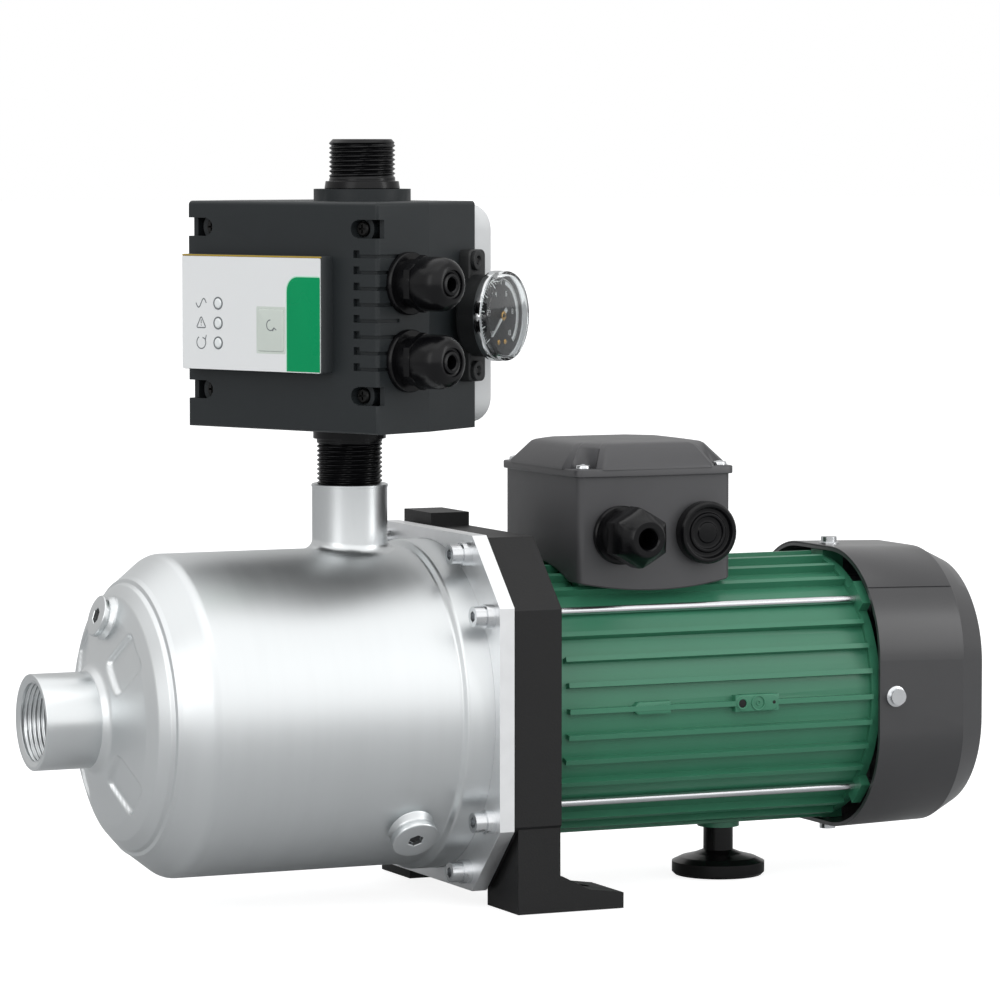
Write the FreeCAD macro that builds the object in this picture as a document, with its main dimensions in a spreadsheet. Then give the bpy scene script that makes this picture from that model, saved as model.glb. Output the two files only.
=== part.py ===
import FreeCAD, Part

# A booster pump set for house water: a multistage pump in a steel casing, driven by a fan-cooled motor on
# the same shaft, with a pressure control unit screwed onto the pump's outlet.
# X runs along the shaft from the suction end to the fan, Y points away from the side with the cable glands,
# and Z is up.
# The origin is on the floor, midway between the two bolt holes in the bracket's feet.

import math
import os

import Sketcher
from FreeCAD import Placement, Rotation, Vector

DRIVING_SIZES = {
    # Where the shaft lies over the floor, and the foot bolts behind the clamp flange
    "axis_height": 98.0,
    "foot_bolt_setback": 46.5,
    # Pump casing, pressed from sheet steel
    "casing_radius": 81.0,
    "casing_wall": 2.0,
    "casing_length": 145.5,
    "crown_length": 36.2,
    "crown_lift": 2.5,
    "crown_face_radius": 53.0,
    "crown_face_rise": 9.2,
    "crown_shoulder_radius": 66.5,
    "crown_shoulder_rise": 17.5,
    "crown_ring_radius": 70.3,
    "crown_ring_rise": 22.5,
    "collar_radius": 84.0,
    "collar_length": 14.0,
    "collar_slope": 2.0,
    "lip_radius": 88.0,
    "lip_thickness": 2.0,
    # Suction and discharge sockets, welded to the casing
    "suction_radius": 24.0,
    "suction_bore": 19.5,
    "suction_thread_length": 24.0,
    "suction_stop_bore": 17.8,
    "suction_mouth": 22.2,
    "suction_chamfer": 2.5,
    "suction_length": 31.4,
    "discharge_setback": 50.8,
    "discharge_radius": 19.35,
    "discharge_bore": 14.6,
    "discharge_rise": 113.5,
    "nipple_radius": 16.6,
    "nipple_bore": 12.5,
    "nipple_engagement": 14.0,
    # Filler and drain plugs
    "plug_boss_radius": 10.0,
    "plug_boss_rise": 4.6,
    "plug_thread_radius": 6.5,
    "plug_head_radius": 12.2,
    "plug_head_thickness": 3.6,
    "plug_socket_flats": 7.0,
    "plug_length": 9.0,
    "filler_boss_rise": 3.0,
    "filler_boss_radius": 9.0,
    "filler_head_radius": 10.4,
    "filler_head_thickness": 2.8,
    "crown_pad_circle": 42.0,
    "crown_pad_half": 10.5,
    "crown_pad_depth": 1.0,
    "drain_plug_angle": 133.0,
    "drain_plug_setback": 42.8,
    "filler_plug_offset": 50.0,
    "filler_plug_tilt": 17.0,
    # Clamp flange and its screws
    "flange_half": 89.5,
    "flange_flat_half": 55.7,
    "flange_thickness": 8.0,
    "flange_screw_circle": 95.0,
    "flange_screw_spread": 12.3,
    "screw_head_radius": 5.0,
    "screw_head_length": 6.0,
    "screw_collar_radius": 6.0,
    "screw_collar_length": 4.5,
    "screw_shank_radius": 3.0,
    "screw_shank_length": 17.0,
    "screw_socket_flats": 5.0,
    # Seal plate and shaft seal
    "seal_plate_thickness": 6.0,
    "seal_ring_section": 2.6,
    "seat_radius": 19.0,
    "seat_bore": 12.5,
    "seat_length": 5.0,
    "seat_depth": 3.0,
    "seal_head_radius": 17.0,
    "seal_spring_radius": 14.5,
    # Stages
    "stage_pitch": 36.0,
    "chamber_radius": 76.0,
    "chamber_wall": 3.0,
    "eye_radius": 24.0,
    "eye_bore": 20.5,
    "impeller_radius": 64.0,
    "impeller_width": 10.0,
    "shroud_thickness": 1.6,
    "blade_thickness": 2.4,
    "hub_radius": 12.0,
    "guide_vane_inner": 34.0,
    "guide_vane_length": 16.0,
    "guide_vane_thickness": 2.2,
    "suction_guide_radius": 23.0,
    "suction_guide_wall": 2.0,
    "running_gap": 0.4,
    # Shaft
    "pump_shaft_radius": 8.0,
    "nut_thread_radius": 6.0,
    "nut_length": 10.0,
    "nut_flats": 18.0,
    "drive_shaft_radius": 10.0,
    "rotor_shaft_radius": 14.0,
    "fan_shaft_radius": 7.5,
    # Bracket with its feet
    "bracket_half": 88.0,
    "bracket_flat_half": 54.0,
    "bracket_length": 26.5,
    "bracket_front_recess": 9.0,
    "bracket_recess_radius": 76.0,
    "bracket_rear_recess": 9.0,
    "leg_outer": 86.7,
    "leg_inner": 49.3,
    "leg_setback": 3.3,
    "leg_top": 44.0,
    "foot_length": 61.5,
    "foot_end_height": 8.0,
    "foot_root_height": 18.0,
    "foot_bolt_radius": 4.5,
    "foot_bolt_half_spacing": 68.0,
    "lug_height": 7.0,
    "lug_inner": 25.0,
    "lug_outer": 60.0,
    "lug_setback": 5.0,
    # Bearings
    "front_bearing_setback": 8.5,
    "front_bearing_radius": 23.5,
    "front_bearing_width": 14.0,
    "front_ball_radius": 3.9,
    "rear_bearing_radius": 17.5,
    "rear_bearing_width": 11.0,
    "rear_ball_radius": 2.9,
    "ball_gap": 0.05,
    "bearing_boss_wall": 7.5,
    # Motor
    "motor_length": 186.0,
    "housing_radius": 66.5,
    "housing_bore": 58.0,
    "spigot_radius": 60.2,
    "spigot_length": 6.0,
    "rib_tip_radius": 70.5,
    "rib_width": 2.6,
    "rib_step_angle": 10.95,
    "rib_start": 13.0,
    "core_setback": 32.0,
    "core_length": 96.0,
    "stator_bore": 33.0,
    "air_gap": 0.4,
    "slot_depth": 15.0,
    "slot_width": 4.4,
    "winding_overhang": 22.0,
    "end_ring_length": 8.0,
    "end_ring_radius": 29.0,
    "tie_rod_circle": 68.9,
    "tie_rod_radius": 2.0,
    "tie_rod_nut_radius": 4.2,
    "tie_rod_nut_length": 4.0,
    "shield_thickness": 5.0,
    "shield_radius": 68.5,
    "shield_lug_radius": 74.5,
    "shield_lug_width": 15.0,
    "cover_lug_length": 11.0,
    "cover_lug_width": 13.0,
    # Fan and its cover
    "fan_setback": 18.0,
    "fan_radius": 57.0,
    "fan_hub_radius": 15.0,
    "fan_hub_length": 20.0,
    "fan_blade_length": 17.0,
    "fan_blade_thickness": 2.4,
    "cover_half": 73.6,
    "cover_corner": 55.0,
    "cover_wall": 2.0,
    "cover_overlap": 2.0,
    "cover_side_length": 50.0,
    "cover_taper": 1.1,
    "cover_bevel_length": 14.7,
    "cover_bevel_rise": 6.5,
    "cover_screw_setback": 9.0,
    "cover_screw_head_radius": 5.4,
    "cover_screw_head_length": 4.0,
    "cover_screw_radius": 2.5,
    "grille_radius": 58.0,
    "grille_pitch": 10.6,
    "grille_slot": 5.6,
    # Support foot under the motor
    "mark_rise": 3.2,
    "arrow_mark_setback": 48.0,
    "arrow_mark_length": 21.4,
    "earth_mark_setback": 106.0,
    "earth_mark_length": 25.0,
    "support_setback": 158.5,
    "support_radius": 24.3,
    "support_rim_height": 7.0,
    "support_bell_height": 12.0,
    "support_stem_radius": 7.8,
    "support_boss_radius": 11.0,
    "support_boss_drop": 72.5,
    # Terminal box on top of the motor
    "box_setback": 99.2,
    "box_half_length": 45.2,
    "box_half_width": 47.0,
    "box_bottom": 57.5,
    "box_top": 116.0,
    "box_wall": 3.0,
    "box_corner": 12.0,
    "box_post_length": 15.0,
    "box_edge": 8.0,
    "pad_half_length": 39.0,
    "pad_half_width": 36.0,
    "pad_top": 72.0,
    "lid_lip": 1.6,
    "lid_skirt": 5.0,
    "lid_height": 16.5,
    "lid_inset": 9.5,
    "lid_corner": 14.0,
    "lid_wall": 2.5,
    "lid_screw_inset": 6.5,
    "lid_screw_radius": 2.0,
    "lid_screw_head_radius": 3.6,
    "lid_screw_head_length": 2.6,
    "lid_screw_length": 18.0,
    "lid_pocket_radius": 6.2,
    "gland_offset": 21.0,
    "blank_offset": 26.6,
    "entry_height": 86.4,
    "entry_boss_radius": 15.0,
    "entry_boss_length": 3.0,
    "entry_bore": 10.0,
    "gland_collar_radius": 12.6,
    "gland_nut_flats": 27.0,
    "gland_nut_start": 12.0,
    "gland_nut_length": 15.0,
    "gland_nose_length": 7.0,
    "gland_nose_radius": 9.0,
    "gland_cable_radius": 5.0,
    "blank_radius": 16.0,
    "blank_length": 7.0,
    "capacitor_radius": 17.0,
    "capacitor_length": 58.0,
    # Pressure control unit on the discharge socket
    "unit_turn": 24.6,
    "unit_bottom": 142.4,
    "unit_height": 113.6,
    "unit_half_width": 65.0,
    "unit_front": 50.0,
    "unit_side_length": 37.8,
    "unit_back_half_width": 54.3,
    "unit_black_depth": 84.1,
    "unit_wall": 3.0,
    "unit_corner": 2.0,
    "unit_nipple_collar_radius": 18.4,
    "outlet_offset": 9.0,
    "outlet_collar_rise": 6.0,
    "outlet_nipple_length": 21.0,
    "nipple_chamfer": 1.8,
    "chamber_outer_radius": 25.0,
    "chamber_bore": 21.0,
    "chamber_bottom": 12.0,
    "chamber_top": 72.0,
    "rear_cover_half_width": 53.5,
    "rear_cover_half_height": 55.0,
    "rear_cover_depth": 15.0,
    "rear_cover_corner": 13.0,
    "panel_left": 61.0,
    "panel_right": 35.0,
    "panel_low": 29.3,
    "panel_high": 87.0,
    "panel_proud": 8.0,
    "button_left": -8.0,
    "button_width": 17.5,
    "button_low": 39.5,
    "button_height": 21.0,
    "button_travel": 0.8,
    "button_gap": 0.3,
    "button_face": 0.4,
    "light_offset": 35.7,
    "light_radius": 2.4,
    "light_low": 42.8,
    "light_step": 9.9,
    "corner_screw_inset": 13.5,
    "corner_screw_low": 18.7,
    "corner_screw_high": 100.5,
    "corner_hole_radius": 4.2,
    "corner_recess_depth": 5.0,
    "corner_recess_half": 4.6,
    "vent_offset": 51.0,
    "vent_low": 31.0,
    "vent_step": 7.9,
    "vent_height": 1.8,
    "vent_groove_depth": 1.2,
    "vent_notch_depth": 3.4,
    "vent_wrap": 16.0,
    "board_setback": 9.0,
    "board_thickness": 1.6,
    "side_gland_setback": 16.0,
    "side_gland_low": 35.7,
    "side_gland_spacing": 38.0,
    "side_gland_base_radius": 15.5,
    "side_gland_base_length": 3.0,
    "side_gland_body_radius": 11.5,
    "side_gland_body_length": 11.0,
    "side_gland_nut_radius": 13.4,
    "side_gland_nut_length": 22.0,
    "side_gland_bore": 3.2,
    "gauge_turn": 13.0,
    "gauge_setback": 39.4,
    "gauge_height": 56.5,
    "gauge_plate_thickness": 6.0,
    "gauge_plate_half_height": 33.0,
    "gauge_case_radius": 20.5,
    "gauge_dial_rise": 18.5,
    "gauge_rim_radius": 22.6,
    "gauge_lens_depth": 5.5,
    "gauge_lens_wall": 1.4,
    "gauge_stem_radius": 5.0,
    "gauge_stem_length": 16.0,
    "gauge_lug_radius": 5.0,
    "gauge_lug_offset": 27.5,
    "pointer_length": 15.0,
    "pointer_tail": 5.0,
    "pointer_width": 1.2,
    "pointer_thickness": 0.8,
    "pointer_hub_radius": 2.4,
    "pointer_pin_radius": 0.8,
    "pointer_zero_angle": 222.0,
    # Flow valve in the control unit
    "valve_radius": 14.6,
    "valve_thickness": 5.0,
    "valve_stem_radius": 3.0,
    "valve_stem_length": 34.0,
    "valve_travel": 8.0,
    "valve_guide_gap": 0.06,
    "valve_guide_rise": 44.0,
    "valve_spring_radius": 6.5,
    "valve_spring_wire": 1.2,
    "valve_spring_turns": 4.0,
}
STAGES = 3
IMPELLER_BLADES = 6
GUIDE_VANES = 7
BALLS = 7
STATOR_SLOTS = 18
RIBS_PER_SIDE = 7
FAN_BLADES = 6
GRILLE_SLOTS = 9
VENT_GROOVES = 8
LIGHTS = 3
HEX_CORNER = 2 / math.sqrt(3)


class Size:
    """A size written as the spreadsheet's names, for expressions, with the number that it gives."""

    def __init__(self, text, value):
        self.text = text
        self.value = float(value)

    def joined(self, sign, other, value):
        return Size(f"({self.text} {sign} {as_size(other).text})", value)

    def __add__(self, other):
        return self.joined("+", other, self.value + as_size(other).value)

    def __radd__(self, other):
        return as_size(other) + self

    def __sub__(self, other):
        return self.joined("-", other, self.value - as_size(other).value)

    def __rsub__(self, other):
        return as_size(other) - self

    def __mul__(self, other):
        return self.joined("*", other, self.value * as_size(other).value)

    def __rmul__(self, other):
        return as_size(other) * self

    def __truediv__(self, other):
        return self.joined("/", other, self.value / as_size(other).value)

    def __neg__(self):
        return 0 - self


def as_size(number):
    return number if isinstance(number, Size) else Size(repr(float(number)), number)


def cosine(angle):
    return Size(f"cos({as_size(angle).text})", math.cos(math.radians(as_size(angle).value)))


def sine(angle):
    return Size(f"sin({as_size(angle).text})", math.sin(math.radians(as_size(angle).value)))


def tangent(angle):
    return Size(f"tan({as_size(angle).text})", math.tan(math.radians(as_size(angle).value)))


class SheetSizes:
    """The driving sizes by name, each tied to its cell of the sheet."""

    def __init__(self, sizes):
        for alias, value in sizes.items():
            setattr(self, alias, Size(f"Sizes.{alias}", value))


doc = FreeCAD.newDocument("booster_pump_set")
sheet = doc.addObject("Spreadsheet::Sheet", "Sizes")
for row, (alias, value) in enumerate(DRIVING_SIZES.items(), start=1):
    sheet.set(f"A{row}", alias.replace("_", " "))
    sheet.set(f"B{row}", str(value))
    sheet.setAlias(f"B{row}", alias)
doc.recompute()
s = SheetSizes(DRIVING_SIZES)
nodes = {}

# Places along the shaft, each worked out from the flange's back face
flange_back = -s.foot_bolt_setback
flange_front = flange_back - s.flange_thickness
crease = flange_front - s.casing_length
suction_root = crease - s.crown_length
suction_rim = suction_root - s.suction_length
seal_plate_front = flange_back - s.seal_plate_thickness
stack_front = seal_plate_front - STAGES * s.stage_pitch
bracket_back = flange_back + s.bracket_length
motor_back = bracket_back + s.motor_length
core_front = bracket_back + s.core_setback
core_back = core_front + s.core_length
front_bearing = flange_back + s.front_bearing_setback
rear_bearing_back = motor_back - 3.0
rear_bearing = rear_bearing_back - s.rear_bearing_width
cover_front = motor_back + s.cover_overlap
fan_front = motor_back + s.fan_setback
discharge_x = flange_back - s.discharge_setback
box_x = bracket_back + s.box_setback - s.bracket_length
support_x = flange_back + s.support_setback

SHAFT_LINE = Placement(Vector(0, 0, s.axis_height.value), Rotation())
UNIT_PLACE = Placement(
    Vector(discharge_x.value, 0, (s.axis_height + s.unit_bottom).value),
    Rotation(Vector(0, 0, 1), s.unit_turn.value - 90),
)


def new_body(label, place="shaft"):
    """A body on the shaft line, in the control unit's frame, or at a Placement of its own."""
    body = doc.addObject("PartDesign::Body", label)
    body.Label = label
    if place == "shaft":
        body.Placement = SHAFT_LINE
        body.setExpression("Placement.Base.z", s.axis_height.text)
    elif place == "unit":
        body.Placement = UNIT_PLACE
        body.setExpression("Placement.Base.x", discharge_x.text)
        body.setExpression("Placement.Base.z", (s.axis_height + s.unit_bottom).text)
        body.setExpression("Placement.Rotation.Angle", (s.unit_turn - 90).text)
    else:
        body.Placement = place
    return body


def keep(label, thing):
    nodes[label] = thing
    return thing


def origin_plane(body, role):
    for feature in body.Origin.OriginFeatures:
        if feature.Role == role + "_Plane":
            return feature
    raise ValueError(role)


def drawing(body, plane, loops, lift=0):
    """A sketch on one of the body's planes.

    A loop is a list of corners, each held at two sizes from the origin, or a circle given as three sizes.
    """
    sketch = body.newObject("Sketcher::SketchObject", body.Name + "_sketch")
    sketch.AttachmentSupport = [(origin_plane(body, plane), "")]
    sketch.MapMode = "FlatFace"
    if isinstance(lift, Placement):
        sketch.AttachmentOffset = lift
    else:
        sketch.AttachmentOffset = Placement(Vector(0, 0, as_size(lift).value), Rotation())
        sketch.setExpression("AttachmentOffset.Base.z", as_size(lift).text)
    rules = []
    formulas = []

    def hold(rule, *places, size):
        formulas.append((len(rules), size.text))
        rules.append(Sketcher.Constraint(rule, *places, size.value))

    for loop in loops:
        first = sketch.GeometryCount
        if isinstance(loop, tuple):
            across, up, radius = (as_size(number) for number in loop)
            centre = Vector(across.value, up.value, 0)
            sketch.addGeometry(Part.Circle(centre, Vector(0, 0, 1), radius.value), False)
            hold("DistanceX", -1, 1, first, 3, size=across)
            hold("DistanceY", -1, 1, first, 3, size=up)
            hold("Radius", first, size=radius)
            continue
        corners = [(as_size(across), as_size(up)) for across, up in loop]
        count = len(corners)
        for index, (across, up) in enumerate(corners):
            next_across, next_up = corners[(index + 1) % count]
            start = Vector(across.value, up.value, 0)
            end = Vector(next_across.value, next_up.value, 0)
            sketch.addGeometry(Part.LineSegment(start, end), False)
        for index, (across, up) in enumerate(corners):
            after = first + (index + 1) % count
            rules.append(Sketcher.Constraint("Coincident", first + index, 2, after, 1))
            hold("DistanceX", -1, 1, first + index, 1, size=across)
            hold("DistanceY", -1, 1, first + index, 1, size=up)
    sketch.addConstraint(rules)
    for index, text in formulas:
        sketch.setExpression(f"Constraints[{index}]", text)
    return sketch


def revolve(body, corners, upright=False):
    """Turns an outline about the body's X axis, corners being place along and radius, or upright about Z."""
    sketch = drawing(body, "XZ", [corners])
    feature = body.newObject("PartDesign::Revolution", body.Name + "_turned")
    feature.Profile = sketch
    feature.ReferenceAxis = (sketch, ["V_Axis" if upright else "H_Axis"])
    feature.Angle = 360
    return feature


def groove(body, corners, upright=False):
    """Cuts away an outline turned about the body's X axis, or about Z."""
    sketch = drawing(body, "XZ", [corners])
    feature = body.newObject("PartDesign::Groove", body.Name + "_groove")
    feature.Profile = sketch
    feature.ReferenceAxis = (sketch, ["V_Axis" if upright else "H_Axis"])
    feature.Angle = 360
    return feature


def pad(body, plane, loops, start, length):
    """Adds the loops as a prism, from start along the plane's normal."""
    sketch = drawing(body, plane, loops, start)
    feature = body.newObject("PartDesign::Pad", body.Name + "_pad")
    feature.Profile = sketch
    feature.setExpression("Length", as_size(length).text)
    return feature


def pocket(body, plane, loops, top, depth):
    """Cuts the loops away, from top against the plane's normal."""
    sketch = drawing(body, plane, loops, top)
    feature = body.newObject("PartDesign::Pocket", body.Name + "_pocket")
    feature.Profile = sketch
    feature.setExpression("Length", as_size(depth).text)
    return feature


def around(body, feature, count, upright=False):
    """Repeats a feature round the body's X axis, or round its Z axis."""
    pattern = body.newObject("PartDesign::PolarPattern", body.Name + "_pattern")
    pattern.Originals = [feature]
    pattern.Axis = (feature.Profile[0], ["V_Axis" if upright else "N_Axis"])
    pattern.Angle = 360
    pattern.Occurrences = count
    body.Tip = pattern
    return pattern


def soften(body, radius, chosen):
    """Rounds the edges of the body for which chosen says yes."""
    doc.recompute()
    base = body.Tip
    names = [f"Edge{i}" for i, edge in enumerate(base.Shape.Edges, start=1) if chosen(edge)]
    feature = body.newObject("PartDesign::Fillet", body.Name + "_rounding")
    feature.Base = (base, names)
    feature.setExpression("Radius", as_size(radius).text)
    return feature


def box_loop(across_low, across_high, up_low, up_high):
    return [(across_low, up_low), (across_high, up_low), (across_high, up_high), (across_low, up_high)]


def ring_loop(start, end, inner, outer):
    return [(start, inner), (end, inner), (end, outer), (start, outer)]


def hex_loop(flats, turned=0.0):
    radius = as_size(flats) / 2 * HEX_CORNER
    return [(radius * cosine(60 * k + turned), radius * sine(60 * k + turned)) for k in range(6)]


def octagon(half, flat_half):
    """A square with its corners cut off: the half width and the half length of each side that is left."""
    return [
        (flat_half, half),
        (-flat_half, half),
        (-half, flat_half),
        (-half, -flat_half),
        (-flat_half, -half),
        (flat_half, -half),
        (half, -flat_half),
        (half, flat_half),
    ]


def shaped(label, shape, place=None):
    """A piece whose form Part's own functions make, from the same sizes."""
    feature = doc.addObject("Part::Feature", label)
    feature.Label = label
    feature.Shape = shape
    if place is not None:
        feature.Placement = place
    return keep(label, feature)


def set_out(label, master, places):
    """Separate copies of one piece, in one node."""
    doc.recompute()
    copies = []
    for place in places:
        copy = master.Shape.copy()
        copy.Placement = place.multiply(copy.Placement)
        copies.append(copy)
    return shaped(label, Part.makeCompound(copies))


def pointing(position, direction, frame=Placement()):
    """A place whose Z axis points along a direction, in a frame."""
    turn = Rotation(Vector(0, 0, 1), Vector(*direction))
    return frame.multiply(Placement(Vector(*position), turn))


def turned_about_shaft(angle):
    """A turn about the shaft line, in degrees from the top towards the side with the glands."""
    return Placement(Vector(0, 0, 0), Rotation(Vector(1, 0, 0), angle), Vector(0, 0, s.axis_height.value))


# Pump casing: a pressed cup with a dished crown, a stiffening ring, and a collar at the flange
casing_outer = [
    (suction_root, s.suction_stop_bore),
    (suction_root, s.suction_radius + 1),
    (suction_root + s.crown_face_rise, s.crown_face_radius),
    (suction_root + s.crown_face_rise + 3.6, s.crown_face_radius + 8),
    (suction_root + s.crown_shoulder_rise, s.crown_shoulder_radius),
    (suction_root + s.crown_shoulder_rise + 2.2, s.crown_shoulder_radius + 1),
    (suction_root + s.crown_shoulder_rise + 2.8, s.crown_ring_radius - 1.2),
    (suction_root + s.crown_ring_rise, s.crown_ring_radius),
    (crease, s.casing_radius),
    (flange_front - s.collar_length - s.collar_slope, s.casing_radius),
    (flange_front - s.collar_length, s.collar_radius),
    (flange_back - s.lip_thickness, s.collar_radius),
    (flange_back - s.lip_thickness, s.lip_radius),
    (flange_back, s.lip_radius),
]
casing_inner = [
    (flange_back, s.collar_radius - s.casing_wall),
    (flange_front - s.collar_length + s.collar_slope, s.collar_radius - s.casing_wall),
    (flange_front - s.collar_length, s.casing_radius - s.casing_wall),
    (crease, s.casing_radius - s.casing_wall),
    (suction_root + s.crown_ring_rise + s.crown_lift, s.crown_ring_radius),
    (suction_root + s.crown_shoulder_rise + s.crown_lift, s.crown_shoulder_radius - 1),
    (suction_root + s.crown_face_rise + s.crown_lift, s.crown_face_radius),
    (suction_root + s.crown_lift, s.suction_radius + 1),
    (suction_root + s.crown_lift, s.suction_stop_bore),
]
crown_slope = s.crown_face_rise / (s.crown_face_radius - s.suction_radius - 1)
filler_surface = suction_root + crown_slope * (s.filler_plug_offset - s.suction_radius - 1)
drain_x = flange_back - s.drain_plug_setback
drain_direction = Vector(0, -sine(s.drain_plug_angle).value, cosine(s.drain_plug_angle).value)
filler_direction = Vector(-cosine(s.filler_plug_tilt).value, 0, sine(s.filler_plug_tilt).value)
DRAIN_PLACE = pointing((drain_x.value, 0, 0), drain_direction, SHAFT_LINE)
FILLER_PLACE = pointing((filler_surface.value, 0, s.filler_plug_offset.value), filler_direction, SHAFT_LINE)
pad_surface = suction_root + crown_slope * (s.crown_pad_circle - s.suction_radius - 1)
PAD_PLACE = pointing((pad_surface.value, 0, s.crown_pad_circle.value), filler_direction, SHAFT_LINE)


def make_casing():
    shell = new_body("casing_shell")
    revolve(shell, casing_outer + casing_inner)
    outlet_place = Placement(Vector(discharge_x.value, 0, s.axis_height.value), Rotation())
    hole = new_body("discharge_hole", outlet_place)
    revolve(hole, ring_loop(0, s.discharge_bore, 0, s.casing_radius + 5), upright=True)
    hole.setExpression("Placement.Base.x", discharge_x.text)
    drain_boss = new_body("drain_boss", DRAIN_PLACE)
    revolve(drain_boss, ring_loop(0, s.plug_boss_radius, s.casing_radius - 1.6, boss_top), upright=True)
    drain_hole = new_body("drain_hole", DRAIN_PLACE)
    revolve(drain_hole, ring_loop(0, s.plug_thread_radius, s.casing_radius - 8, boss_top + 2), upright=True)
    filler_boss = new_body("filler_boss", FILLER_PLACE)
    revolve(filler_boss, ring_loop(0, s.filler_boss_radius, -s.casing_wall, s.filler_boss_rise), upright=True)
    filler_hole = new_body("filler_hole", FILLER_PLACE)
    revolve(filler_hole, ring_loop(0, s.plug_thread_radius, -12, s.filler_boss_rise + 2), upright=True)
    dents = []
    for k in range(4):
        dent = new_body(f"crown_pad_{k + 1}", turned_about_shaft(45 + 90 * k).multiply(PAD_PLACE))
        half = s.crown_pad_half
        pad(dent, "XY", [box_loop(-half, half, -half, half)], -s.crown_pad_depth, s.crown_pad_depth + 5)
        dents.append(dent)
    welded = doc.addObject("Part::MultiFuse", "casing_with_bosses")
    welded.Shapes = [shell, drain_boss, filler_boss]
    holes = doc.addObject("Part::MultiFuse", "casing_holes")
    holes.Shapes = [hole, drain_hole, filler_hole] + dents
    casing = doc.addObject("Part::Cut", "pump_casing")
    casing.Base = welded
    casing.Tool = holes
    keep("pump_casing", casing)


boss_top = s.casing_radius + s.plug_boss_rise
make_casing()

suction_thread_end = suction_rim + s.suction_chamfer + s.suction_thread_length
suction_socket = keep("suction_socket", new_body("suction_socket"))
revolve(
    suction_socket,
    [
        (suction_rim, s.suction_mouth),
        (suction_rim, s.suction_radius),
        (suction_root, s.suction_radius),
        (suction_root, s.suction_stop_bore),
        (suction_thread_end, s.suction_stop_bore),
        (suction_thread_end, s.suction_bore),
        (suction_rim + s.suction_chamfer, s.suction_bore),
    ],
)


def make_discharge_socket():
    """The outlet socket stands on the casing's round wall, so its foot is cut to that curve."""
    place = Placement(Vector(discharge_x.value, 0, s.axis_height.value), Rotation())
    tube = new_body("discharge_tube", place)
    tube.setExpression("Placement.Base.x", discharge_x.text)
    thread_bottom = s.discharge_rise - s.nipple_engagement - 1
    revolve(
        tube,
        [
            (s.discharge_bore, s.casing_radius - 6),
            (s.discharge_radius, s.casing_radius - 6),
            (s.discharge_radius, s.discharge_rise),
            (s.nipple_radius + 1.2, s.discharge_rise),
            (s.nipple_radius + 0.05, s.discharge_rise - 1.2),
            (s.nipple_radius + 0.05, thread_bottom),
            (s.discharge_bore, thread_bottom),
        ],
        upright=True,
    )
    wall = new_body("discharge_saddle")
    revolve(wall, ring_loop(discharge_x - 30, discharge_x + 30, 0, s.casing_radius))
    socket = doc.addObject("Part::Cut", "discharge_socket")
    socket.Base = tube
    socket.Tool = wall
    keep("discharge_socket", socket)


make_discharge_socket()


def make_plug(label, place, seat, head_radius, head_thickness):
    """A plug with a round flat head, sunk hexagon and short thread, seated on its boss."""
    plug = keep(label, new_body(label, place))
    top = seat + head_thickness
    revolve(
        plug,
        [
            (0, seat - s.plug_length),
            (s.plug_thread_radius - 0.05, seat - s.plug_length),
            (s.plug_thread_radius - 0.05, seat),
            (head_radius, seat),
            (head_radius, top - 0.8),
            (head_radius - 0.8, top),
            (0, top),
        ],
        upright=True,
    )
    pocket(plug, "XY", [hex_loop(s.plug_socket_flats)], top, 4.5)


make_plug("drain_plug", DRAIN_PLACE, boss_top, s.plug_head_radius, s.plug_head_thickness)
make_plug("filler_plug", FILLER_PLACE, s.filler_boss_rise, s.filler_head_radius, s.filler_head_thickness)

# Clamp flange: a plate with cut-off corners that holds the casing's lip against the bracket
screw_angles = [45 * corner + side * s.flange_screw_spread for corner in (1, 3, 5, 7) for side in (-1, 1)]
screw_centres = [
    (s.flange_screw_circle * cosine(angle), s.flange_screw_circle * sine(angle)) for angle in screw_angles
]
clamp_flange = keep("clamp_flange", new_body("clamp_flange"))
flange_holes = [(across, up, s.screw_shank_radius + 0.3) for across, up in screw_centres]
pad(
    clamp_flange,
    "YZ",
    [octagon(s.flange_half, s.flange_flat_half), (0, 0, s.collar_radius + 0.1)] + flange_holes,
    flange_front,
    s.flange_thickness,
)
pocket(clamp_flange, "YZ", [(0, 0, s.lip_radius + 0.1)], flange_back, s.lip_thickness)

flange_screw = new_body("flange_screw", Placement())
screw_top = s.screw_head_length + s.screw_collar_length
revolve(
    flange_screw,
    [
        (0, -s.screw_shank_length),
        (s.screw_shank_radius, -s.screw_shank_length),
        (s.screw_shank_radius, 0),
        (s.screw_collar_radius, 0),
        (s.screw_collar_radius, s.screw_collar_length),
        (s.screw_head_radius, s.screw_collar_length),
        (s.screw_head_radius, screw_top),
        (0, screw_top),
    ],
    upright=True,
)
pocket(flange_screw, "XY", [hex_loop(s.screw_socket_flats)], screw_top, 3.5)
set_out(
    "flange_screws",
    flange_screw,
    [
        pointing((flange_front.value, across.value, up.value), (-1, 0, 0), SHAFT_LINE)
        for across, up in screw_centres
    ],
)

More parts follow.
